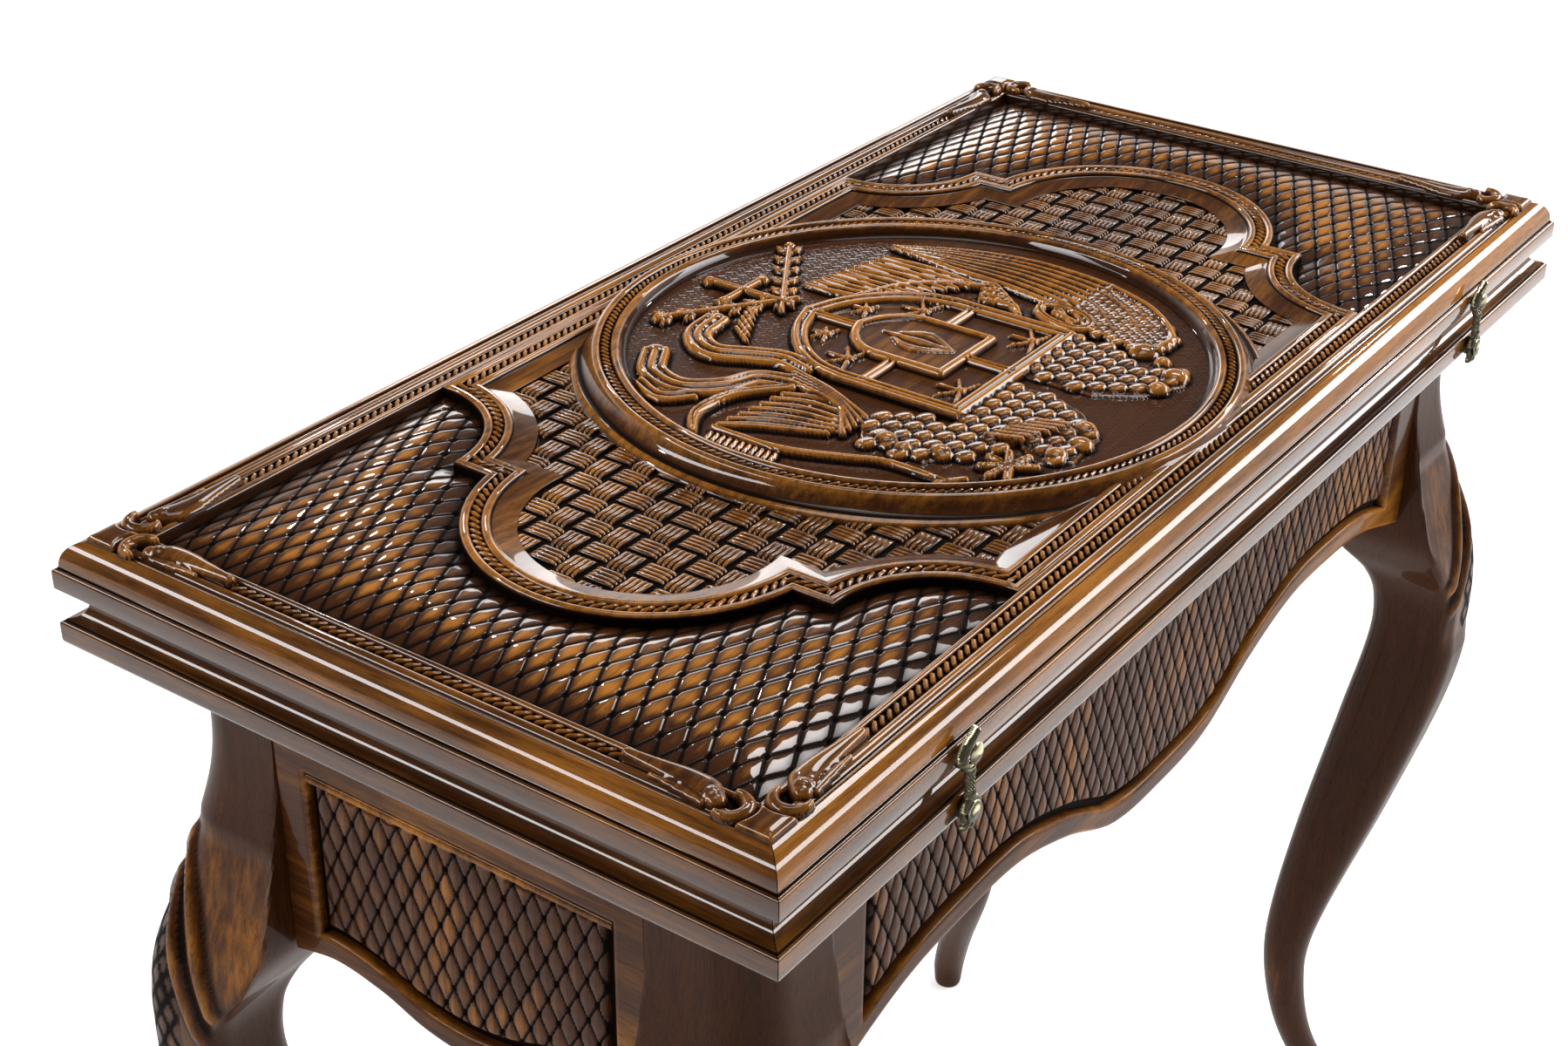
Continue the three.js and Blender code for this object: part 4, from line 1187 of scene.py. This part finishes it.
def apron(side):
    """Serpentine apron with an eased lower edge and a sunk opening for its lattice."""
    kind, distance, angle, along = APRON_SIDES[side]
    half, opening = APRON_HALF[kind], APRON_OPENING[kind]
    eased = np.array([0.0, 0.08, 0.5, 1.1, 2.0, 3.5])
    columns = np.concatenate([np.linspace(0, opening - 0.05, 60 if kind == "long" else 24), opening + eased, [half]])
    columns = np.concatenate([-columns[:0:-1], columns])
    low = apron_edge(kind, columns)
    rises = [0, 0.25, 0.7, 1.3, 2.2, 3.4, 5, 11, 12, 12.9, 13.5, 13.92, APRON_BAND]
    tops = [*(PANEL_TOP_Z + eased), 700, BASE_Z]
    z = np.array([low + r for r in rises] + [np.full(len(low), t, float) for t in tops])
    x = np.broadcast_to(columns, z.shape)
    rise = z - low
    depth = np.where(rise < 3.4, 2.8 * np.clip(1 - rise / 3.4, 0, 1) ** 1.8, 0.0)
    gap = np.maximum(np.maximum(np.abs(x) - opening, APRON_BAND - rise), z - PANEL_TOP_Z)
    sunk = gap <= 0.001
    depth = np.where(sunk, 11.9, np.maximum(depth, 1.9 * np.clip(1 - gap / 2.0, 0, 1) ** 2))
    # Tone: near black in the sunk opening, painted shade behind the lattice; lighter on the eased edges and round the
    # opening
    tone = np.where(sunk, 0.05, 0.60 + 0.2 * (depth > 0.2))
    points = np.column_stack([x.ravel(), (depth - distance).ravel(), z.ravel()])
    points, faces = close_under(points, grid(*z.shape), APRON_THICK - distance, axis=1)
    piece(f"apron_board_{side}", turn(points, angle), faces, "base_" + along, "base",
          [f"apron_{side}"],
          tone, crease=40)


def lattice(side, sizes):
    """Carved diamond lattice let into an apron, a roll along its top and a slot round the rest, dark with painted
    shade.
    """
    kind, distance, angle, _ = APRON_SIDES[side]
    half = APRON_OPENING[kind] - 0.4
    columns = np.linspace(-half, half, int(2 * half / 0.9))
    low = apron_edge(kind, columns) + APRON_BAND + 0.35
    top = PANEL_TOP_Z - 0.35
    z = low + (top - low) * np.linspace(0, 1, 92)[:, None]
    x = np.broadcast_to(columns, z.shape)
    line, crossing, swell, own = diamonds(x, z - PANEL_TOP_Z + 6, sizes.lattice_width / MM, sizes.lattice_height / MM)
    groove = np.exp(-((line / 0.5) ** 2))
    dimple = np.exp(-((crossing / 1.35) ** 4))
    frame_gap = np.minimum(half - np.abs(x), z - low - 1)
    slot = 1 - np.clip((frame_gap - 3.5) / 3.5, 0, 1) ** 0.6
    depth = np.maximum(0.7 + 0.8 * (1 - swell) + 0.9 * groove + 1.4 * dimple, 0.9 + 4.6 * slot)
    # Tone: painted light on the diamonds' domes and the roll's crown, random per diamond, painted shade in grooves,
    # dimples and the slot
    tone = 0.50 + 0.16 * swell + 0.16 * (own - 0.5) - 0.8 * groove - 1.2 * dimple - 0.6 * slot
    top_gap, roll_height = top - z, 5.6
    roll = np.clip(1 - ((top_gap - 2.7) / 2.9) ** 2, 0, 1) ** 0.5
    depth = np.where(top_gap < roll_height, 3.6 - 3.1 * roll, depth)
    tone = np.clip(np.where(top_gap < roll_height, 0.25 + 0.6 * roll, tone), 0, 1)
    points = np.column_stack([x.ravel(), (depth - distance).ravel(), z.ravel()])
    points, faces = close_under(points, grid(*z.shape), 11.7 - distance, axis=1)
    piece(f"lattice_panel_{side}", turn(points, angle), faces, "base_z", "base", [f"lattice_{side}"],
          tone, crease=60)


def make_aprons(sizes):
    for side in APRON_SIDES:
        apron(side)
        lattice(side, sizes)


LEG_OUTER = [(0, 37.5), (20, 38), (60, 21.5), (137, -24.5), (205, -40), (250, -34.5), (355, 3), (450, 32.5),
             (505, 37),
             (550, 32), (600, 11), (660, -9), (722, -11)]
POST_INNER = -79.4
LEG_INNER = [(0, 16.5), (20, 13.5), (60, -4), (137, -47.5), (190, -65), (240, -70), (320, -59.5), (420, -39),
             (480, -27),
             (512, -29), (532, -39), (550, -57), (572, -75), (590, POST_INNER), (722, POST_INNER)]
OUTER_ROUND = [(0, 10.5), (137, 12), (250, 17), (355, 22), (450, 25), (722, 26)]
SIDE_ROUND = [(0, 10.5), (137, 12), (250, 15), (450, 16), (520, 13), (560, 6), (590, 1), (722, 1)]
ROUND_CUT = math.sqrt(2) - 1


def leg_ring(height, detail):
    """Section of the leg at a height, drawn for the corner at +X +Y, starting on its +X side."""
    outer = float(smooth_curve(LEG_OUTER, height))
    inner = max(float(smooth_curve(LEG_INNER, height)), POST_INNER)
    ro, rs = float(smooth_curve(OUTER_ROUND, height)), float(smooth_curve(SIDE_ROUND, height))
    half = (outer - inner + ROUND_CUT * (ro + rs)) / (2 * math.sqrt(2))
    ro, rs = min(ro, half * 0.98), min(rs, half * 0.98)
    centre = (outer + inner + ROUND_CUT * (ro - rs)) / (2 * math.sqrt(2))
    points = []
    for k, (sx, sy, r) in enumerate([(1, 1, ro), (-1, 1, rs), (-1, -1, rs), (1, -1, rs)]):
        for a in np.linspace(k * QUARTER, (k + 1) * QUARTER, detail):
            points.append((LEG_CORNER[0] + centre + sx * (half - r) + r * math.cos(a),
                           LEG_CORNER[1] + centre + sy * (half - r) + r * math.sin(a)))
    closed = np.array(points + [points[0]])
    run = np.concatenate([[0], np.cumsum(np.hypot(*np.diff(closed, axis=0).T))])
    return closed, run


def leg_carving(across, height):
    """Carving of the knee: height of relief and tone, by place across the outer faces and height."""
    raised = np.zeros(across.shape)
    tone = np.full(across.shape, 0.66)
    # Scaled patch on the knee, fading in at its borders.
    line, crossing, swell, own = diamonds(across, height, 11.5, 19.0)
    low, high = 486 + 0.010 * across ** 2, 604 - 0.030 * across ** 2
    patch = np.clip((height - low) / 4, 0, 1) * np.clip((high - height) / 4, 0, 1)
    patch = patch * np.clip((31 - np.abs(across)) / 3, 0, 1)
    groove, dimple = np.exp(-((line / 0.7) ** 2)), np.exp(-((crossing / 1.6) ** 4))
    raised += patch * (0.9 * swell - 1.2 * groove - 1.2 * dimple - 0.9)
    # Tone: painted light on the scales' domes and painted shade in their grooves and dimples
    tone = tone + patch * (0.45 * swell - 0.35 + 0.2 * (own - 0.5) - 0.8 * groove - 0.8 * dimple)
    # Ribbon that wraps the knee in two ridges each side.
    for start, slope in ((618.0, 1.55), (597.0, 1.75)):
        level = start - slope * np.abs(across)
        d = (height - level) / (8.5 + 0.05 * np.abs(across))
        show = np.clip((height - 496) / 24, 0, 1)
        ridge = np.clip(1 - d * d, 0, 1) ** 1.3 * show
        raised = np.maximum(raised, 3.0 * ridge)
        # Painted shade along the foot of each ribbon ridge
        foot = np.exp(-((np.abs(d) - 1.0) / 0.5) ** 2) * show
        tone = np.where(ridge > 0.02, 0.35 + 0.45 * ridge, tone - 0.35 * foot)
    return raised, np.clip(tone, 0, 1)


def leg_mesh():
    """Points row by row, faces and tones of the leg at +X +Y."""
    shin, knee, post = np.arange(34, 470, 7.0), np.arange(470, 640, 2.0), np.arange(640, 716, 7.0)
    heights = np.concatenate([[0, 1.5, 4, 8, 13, 19, 26], shin, knee, post, [719, 721.4, BASE_Z]])
    easing = {0: -0.7, 1.5: -0.25, 721.4: -0.25, BASE_Z: -0.7}
    around, detail = 128, 13
    rows, tones = [], []
    for h in heights:
        closed, run = leg_ring(h, detail)
        diagonal = np.linspace(0, run[-1], around, endpoint=False)
        x = np.interp(diagonal, run, closed[:, 0])
        y = np.interp(diagonal, run, closed[:, 1])
        nx, ny = np.gradient(y), -np.gradient(x)
        nx[0], nx[-1] = y[1] - y[-1], y[0] - y[-2]
        ny[0], ny[-1] = x[-1] - x[1], x[-2] - x[0]
        length = np.maximum(np.hypot(nx, ny), 1e-6)
        nx, ny = nx / length, ny / length
        across = (diagonal - run[detail // 2] + run[-1] / 2) % run[-1] - run[-1] / 2
        outward = np.clip((nx + ny) / math.sqrt(2) * 2.2 + 0.55, 0, 1)
        raised, tone = leg_carving(across, np.full(around, h))
        fade = outward * np.clip((h - 478) / 14, 0, 1) * np.clip((632 - h) / 10, 0, 1)
        raised, tone = (raised - 1.9) * fade, 0.36 + (tone - 0.50) * fade
        out = raised + easing.get(h, 0.0)
        rows.append(np.column_stack([x + nx * out, y + ny * out, np.full(around, h)]))
        tones.append(tone)
    points = np.concatenate(rows)
    return points, tube_faces(len(heights), around), np.concatenate(tones)


def make_legs():
    points, faces, tone = leg_mesh()
    for end, sy in ENDS.items():
        for side, sx in SIDES.items():
            placed = points * (sx, sy, 1)
            turned = faces if sx * sy > 0 else [face[::-1] for face in faces]
            piece(f"cabriole_leg_{end}_{side}", placed, turned, "base_z", "base",
                  [f"leg_{end}_{side}"], tone, crease=50)


# ---- Brass and steel -----------------------------------------------------------------------------

def brass_piece(name, points, faces, body, node, tone, crease):
    piece(name, points, faces, "brass", body, [node], tone, crease)


def turned_brass(name, x, z, profile, body, node):
    """A turned stud on the front nose; its profile is radius, distance out from the nose and tone. Tone is lighter on
    the top, painted light.
    """
    sides = 28
    a = np.linspace(0, 2 * math.pi, sides, endpoint=False)
    rings = [[(x + r * math.cos(t), -NOSE_Y - out, z + r * math.sin(t)) for t in a] for r, out, _ in profile]
    tone = np.concatenate([t * (0.56 + 0.44 * np.sin(a)) for _, _, t in profile])
    brass_piece(name, np.array(rings).reshape(-1, 3), tube_faces(len(profile), sides), body, node, tone, crease=35)


# Tones: low in the necks, painted shade, high on the domes and beads, painted light
STUD = [(5.2, 0.1, 0.2), (5.2, 1.9, 0.4), (2.2, 2.1, 0.1), (2.2, 5.2, 0.1), (4.0, 5.3, 0.3), (4.8, 5.5, 0.6),
        (5.0, 5.8, 0.8), (4.7, 6.1, 0.9), (4.2, 6.2, 0.5), (3.7, 6.2, 0.1), (3.3, 6.4, 0.5), (2.4, 6.8, 1.0),
        (1.2, 6.97, 1.0), (0.3, 7.0, 1.0)]
KNOB = [(3.6, 0.1, 0.2), (3.6, 1.0, 0.5), (2.6, 1.7, 0.2), (1.3, 2.1, 0.1), (1.3, 4.5, 0.1), (3.2, 4.55, 0.3),
        (4.2, 4.7, 0.6), (4.9, 5.0, 0.8), (4.9, 5.4, 0.9), (4.3, 5.9, 1.0), (3.0, 6.4, 1.0), (1.8, 6.8, 1.0), (0.3,
                                                                                                               7.0,
                                                                                                               1.0)]
KNOB_RISE = KNOB_Z - HOOK_PIVOT_Z
HOOK_OUT = 2.5


def hook_relief(relief):
    """Swing hook drawn upright, its pivot at the origin and the knob straight above."""
    # Plate, three lobes and a bow over the pivot.
    relief.stroke([(0, -1.2), (0, 1.2)], [6.6], 2.6, sides=0.3)
    for lobe in (-1, 0, 1):
        relief.stroke([(1.4 * lobe, -3), (4.6 * lobe, -6.2 - 1.2 * (lobe == 0))], [2.2, 2.6], 3.0)
    relief.stroke([(-5.6, 2.2), (-3.0, 5.0), (0, 6.4), (3.0, 5.0), (5.6, 2.2)], [1.4, 1.8, 2.0, 1.8, 1.4], 3.2)
    # Ringed arm between two beads.
    relief.stroke([(0, 5), (0, 22)], [3.2, 2.0, 2.0, 2.6], 3.3, notches=8)
    relief.bead(0, 9.5, 2.9, 3.9)
    relief.bead(0, 20.6, 2.9, 3.7)
    # Curl that passes beside the knob, its lip, a ball and a finger.
    curl = bezier([(0.4, 21), (-3.4, 24), (-4.0, 28), (-2.4, 31.4), (-0.6, 35.2)])
    relief.stroke(curl, [2.4, 2.2, 2.0, 2.2, 1.2], 3.3)
    relief.stroke(bezier([(0, 21.5), (2.2, 23), (3.4, 24.6)]), [2.2, 1.9, 1.2], 2.9)
    relief.bead(-6.6, 29.6, 3.5, 4.3)
    relief.stroke([(-6.6, 31.0), (-3.0, 34.6), (3.8, 38.8)], [2.4, 2.5, 1.5], 3.9)


def make_hooks():
    x, y = np.meshgrid(np.arange(-12, 9.01, 0.36), np.arange(-11, 41.1, 0.36))
    relief = Relief(x, y, -1.0)
    hook_relief(relief)
    # The arm is thin below the knob's head and open round its neck.
    under_head = np.hypot(x - np.clip(x, 0, 2.8), y - KNOB_RISE) < 5.3
    relief.height = np.where(under_head, np.minimum(relief.height, 1.8), relief.height)
    used, quads = carved_part((relief.height > 0) & (np.hypot(x, y - KNOB_RISE) > 1.75))
    # Tone: painted light where the surface faces up, painted shade in the hollows
    painted_top_light = np.clip(-np.gradient(relief.height, axis=0) * 1.6, 0, 1)
    tone = (0.42 * hollow_tone(np.maximum(relief.height, 0), 1.3, 3) + 0.75 * painted_top_light).ravel()[used]
    across, up, height = (values.ravel()[used] for values in (x, y, relief.height))
    c, s = math.cos(HOOK_REST), math.sin(HOOK_REST)
    for side, sx in SIDES.items():
        points = np.column_stack([sx * HOOK_X + c * across - s * up, -NOSE_Y - HOOK_OUT - height,
                                  HOOK_PIVOT_Z + s * across + c * up])
        made, faces = close_under(points, quads, -NOSE_Y - HOOK_OUT + 0.05, axis=1)
        brass_piece(f"swing_hook_{side}", made, faces, f"hook_{side}", f"hook_arm_{side}", tone, crease=50)
        turned_brass(f"stud_{side}", sx * HOOK_X, HOOK_PIVOT_Z, STUD, "base", f"hook_stud_{side}")
        turned_brass(f"knob_{side}", sx * HOOK_X, KNOB_Z, KNOB, "lid", f"hook_knob_{side}")


def screw_link(radius):
    """A slotted countersunk screw head looking along +Z."""
    points, tone = [], []
    # Tone rises towards the dome's top, painted light; the slot gets 0.05, painted shade
    rings = [(radius, -0.6, 0.1), (radius, 0.0, 0.5), (radius * 0.8, 0.25, 0.9), (radius * 0.35, 0.34, 0.9)]
    sides = 10
    for r, z, t in rings:
        for k in range(sides):
            a = 2 * math.pi * k / sides
            slot = abs(math.sin(a)) < 0.4 and r < radius
            points.append((r * math.cos(a), r * math.sin(a), z - (0.3 if slot else 0.0)))
            tone.append(0.05 if slot else t)
    return points, tube_faces(len(rings), sides), tone


def wear_finishes():
    """Gives the frame's own hidden pieces their finishes."""
    nodes = frame["nodes"]
    wear = {"board": ("upper_board", "lower_board"), "beech": ("corner_block", "cross_rail", "rail_packing"),
            "felt": ("felt_pad",), "steel": ("fixing_",), "brass": ("hinge_",)}
    for finish, starts in wear.items():
        for name in (n for n in nodes if n.startswith(starts)):
            mesh = nodes[name].data
            mesh.materials.clear()
            mesh.materials.append(MATERIALS[finish])
            if finish == "brass":
                tones = np.full(len(mesh.vertices), 0.7, np.float32)
                mesh.attributes.new("tone", "FLOAT", "POINT").data.foreach_set("value", tones)


def make_hardware(sizes):
    """Finishes on the hidden pieces, and their screws."""
    wear_finishes()
    head = link_object("screw_head", *screw_link(sizes.screw / MM))
    hinge_x, hinge_face, pitch = 250, 199.85, 22
    for part, body, level in (("lower", "base", 735.5), ("upper", "lid", 757.5)):
        spots = [(sx * hinge_x + dx, hinge_face, level) for sx in (-1, 1) for dx in (-pitch, 0, pitch)]
        angles = [(-QUARTER, 0.0, 0.0)] * len(spots)
        field(f"hinge_screws_{part}", spots, angles, head, 1.0, "brass", body)
    spots, angles = [], []
    for side, sx in SIDES.items():
        for end, sy in ENDS.items():
            low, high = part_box(f"corner_block_{end}_{side}")
            x = (low.x if sx > 0 else high.x) / MM + sx * 13.8
            y = (low.y if sy > 0 else high.y) / MM + sy * 13.8
            for z in (682.0, 699.0):
                spots.append((x, y, z))
                angles.append((0.0, QUARTER, math.atan2(-sy, -sx)))
    field("block_screws", spots, angles, head, 1.3, "steel", "base")


# ---- Studio --------------------------------------------------------------------------------------

CAMERA_PLACE = Vector((-0.94998, -0.58511, 1.30114))
CAMERA_TURN = (-54.883, 29.460, 0.629)
LENS, SENSOR = 54.38, 36.0


def softbox(name, place, target, size, power):
    light = bpy.data.lights.new(name, "AREA")
    light.shape = "RECTANGLE"
    light.size, light.size_y = size
    light.energy = power
    obj = bpy.data.objects.new(name, light)
    bpy.context.scene.collection.objects.link(obj)
    obj.location = place
    obj.rotation_euler = (Vector(target) - Vector(place)).to_track_quat("-Z", "Y").to_euler()


def make_camera(scene):
    heading, rise, roll = (math.radians(v) for v in CAMERA_TURN)
    back = Vector((math.sin(heading) * math.cos(rise), -math.cos(heading) * math.cos(rise), math.sin(rise)))
    right = Vector((0, 0, 1)).cross(back).normalized()
    up = back.cross(right)
    right, up = math.cos(roll) * right + math.sin(roll) * up, -math.sin(roll) * right + math.cos(roll) * up
    lens = bpy.data.cameras.new("camera")
    lens.lens, lens.sensor_width = LENS, SENSOR
    camera = bpy.data.objects.new("camera", lens)
    scene.collection.objects.link(camera)
    matrix = camera.matrix_world.copy()
    for row, values in enumerate(zip(right, up, back, CAMERA_PLACE)):
        matrix[row] = values
    camera.matrix_world = matrix
    scene.camera = camera


def make_floor(scene, colours):
    """A pale floor that glows more the further it lies from the table; the dimmer glow near the table is painted
    shade under it.
    """
    floor = Finish("studio_floor")
    shade = floor.blend(floor.noise(3.0), tuple(c * 0.98 for c in colours.floor), tuple(colours.floor))
    distance = floor.value(floor.node("ShaderNodeVectorMath", {"operation": "LENGTH"}, {0: floor.place}), "Value")
    glow = floor.blend(distance.between(0.6, 3.0), (0.45, 0.45, 0.45), (0.8, 0.8, 0.8))
    floor.set(Base_Color=shade, Roughness=0.55, Emission_Color=glow, Emission_Strength=1.0)
    mesh = bpy.data.meshes.new("floor")
    reach = 12
    mesh.from_pydata([(-reach, -reach, 0), (reach, -reach, 0), (reach, reach, 0), (-reach, reach, 0)], [],
                     [(0, 1, 2, 3)])
    mesh.materials.append(floor.material)
    ground = bpy.data.objects.new("floor", mesh)
    scene.collection.objects.link(ground)


def make_sky(scene):
    """A dark studio with a pale band low down behind the table."""
    world = bpy.data.worlds.new("studio")
    world.use_nodes = True
    tree = world.node_tree
    split = tree.nodes.new("ShaderNodeSeparateXYZ")
    tree.links.new(tree.nodes.new("ShaderNodeTexCoord").outputs["Generated"], split.inputs[0])
    along, across, height = (Value(tree, split.outputs[axis]) for axis in "XYZ")
    behind = (along * 0.84 + across * 0.54).between(-0.2, 0.75)
    sky = 0.05 + (1 - height.between(0.10, 0.45)) * (0.06 + behind * 1.25)
    background = tree.nodes["Background"]
    background.inputs["Color"].default_value = (1.0, 0.98, 0.96, 1)
    plug(tree, sky, background.inputs["Strength"])
    scene.world = world


def make_stage(colours):
    scene = bpy.context.scene
    make_camera(scene)
    make_floor(scene, colours)
    make_sky(scene)
    scene.view_settings.view_transform = "Standard"
    middle = (0, 0, 0.75)
    softbox("overhead", (0.1, 0.2, 3.4), middle, (1.6, 1.0), 18)
    softbox("left_window", (-1.65, 1.35, 2.08), (-0.4, 0, 0.75), (1.9, 0.42), 32)
    softbox("right_window", (1.9, -1.4, 1.72), (0, -0.2, 0.75), (2.2, 0.66), 54)
    softbox("back_window", (1.2, 0.25, 2.42), (-0.33, -0.15, 0.77), (0.85, 0.42), 13)
    softbox("low_window", (1.97, 1.77, 1.5), (-0.2, -0.15, 0.77), (1.3, 0.42), 8)
    for name, place in (("back", (1.7, 2.2, 2.4)), ("left", (-0.9, 2.3, 2.6)), ("right", (2.5, 0.0, 2.2))):
        softbox(f"spark_{name}", place, middle, (0.10, 0.10), 5)


# ---- Operators -----------------------------------------------------------------------------------

def settings(context):
    """Sizes and colours, with every finish made."""
    scene = context.scene
    finishes(scene.games_table_colours)
    return scene.games_table_sizes


class TABLE_OT_stage(bpy.types.Operator):
    """Adds the camera, the floor and the studio lights"""
    bl_idname = "games_table.stage"
    bl_label = "Stage"

    def execute(self, context):
        make_stage(context.scene.games_table_colours)
        return {"FINISHED"}


class TABLE_OT_mouldings(bpy.types.Operator):
    """Adds the mitred mouldings of tray and lid"""
    bl_idname = "games_table.mouldings"
    bl_label = "Mouldings"

    def execute(self, context):
        settings(context)
        make_mouldings()
        return {"FINISHED"}


class TABLE_OT_ropes(bpy.types.Operator):
    """Adds the carved ropes of the border, the lobed frames and the ring"""
    bl_idname = "games_table.ropes"
    bl_label = "Ropes"

    def execute(self, context):
        make_ropes(settings(context))
        return {"FINISHED"}


class TABLE_OT_frames(bpy.types.Operator):
    """Adds the quilted panels, the lobed frames and their basket-weave grounds"""
    bl_idname = "games_table.frames"
    bl_label = "Quilting and weave"

    def execute(self, context):
        make_frames(settings(context))
        return {"FINISHED"}


class TABLE_OT_medallion(bpy.types.Operator):
    """Adds the medallion and its ring"""
    bl_idname = "games_table.medallion"
    bl_label = "Medallion"

    def execute(self, context):
        sizes = settings(context)
        make_ring()
        make_medallion(sizes)
        return {"FINISHED"}


class TABLE_OT_corners(bpy.types.Operator):
    """Adds the carved leaves over the lid's mitres"""
    bl_idname = "games_table.corners"
    bl_label = "Corner leaves"

    def execute(self, context):
        settings(context)
        make_corner_carvings()
        return {"FINISHED"}


class TABLE_OT_legs(bpy.types.Operator):
    """Adds the four cabriole legs"""
    bl_idname = "games_table.legs"
    bl_label = "Legs"

    def execute(self, context):
        settings(context)
        make_legs()
        return {"FINISHED"}


class TABLE_OT_aprons(bpy.types.Operator):
    """Adds the aprons and their lattice panels"""
    bl_idname = "games_table.aprons"
    bl_label = "Aprons"

    def execute(self, context):
        make_aprons(settings(context))
        return {"FINISHED"}


class TABLE_OT_hooks(bpy.types.Operator):
    """Adds the brass hooks with their studs and knobs"""
    bl_idname = "games_table.hooks"
    bl_label = "Hooks"

    def execute(self, context):
        settings(context)
        make_hooks()
        return {"FINISHED"}


class TABLE_OT_hardware(bpy.types.Operator):
    """Finishes the boards, blocks, bolts and hinges, and adds their screws"""
    bl_idname = "games_table.hardware"
    bl_label = "Boards and hardware"

    def execute(self, context):
        make_hardware(settings(context))
        return {"FINISHED"}


OPERATORS = (TABLE_OT_stage, TABLE_OT_mouldings, TABLE_OT_ropes, TABLE_OT_frames, TABLE_OT_medallion,
             TABLE_OT_corners,
             TABLE_OT_legs, TABLE_OT_aprons, TABLE_OT_hooks, TABLE_OT_hardware)


class TABLE_PT_panel(bpy.types.Panel):
    """Sidebar panel that lists the pieces"""
    bl_idname = "TABLE_PT_panel"
    bl_label = "Carved games table"
    bl_space_type = "VIEW_3D"
    bl_region_type = "UI"
    bl_category = "Games table"

    def draw(self, context):
        for group in (context.scene.games_table_sizes, context.scene.games_table_colours):
            for name in group.__annotations__:
                self.layout.prop(group, name)
        for operator in OPERATORS:
            self.layout.operator(operator.bl_idname)


CLASSES = (TableSizes, TableColours, *OPERATORS, TABLE_PT_panel)


def register():
    for cls in CLASSES:
        bpy.utils.register_class(cls)
    bpy.types.Scene.games_table_sizes = PointerProperty(type=TableSizes)
    bpy.types.Scene.games_table_colours = PointerProperty(type=TableColours)


def unregister():
    del bpy.types.Scene.games_table_sizes, bpy.types.Scene.games_table_colours
    for cls in reversed(CLASSES):
        bpy.utils.unregister_class(cls)


def main():
    register()
    for operator in OPERATORS:
        name = operator.bl_idname.split(".")[1]
        getattr(bpy.ops.games_table, name)()
    bpy.context.view_layer.update()


if __name__ == "__main__":
    main()
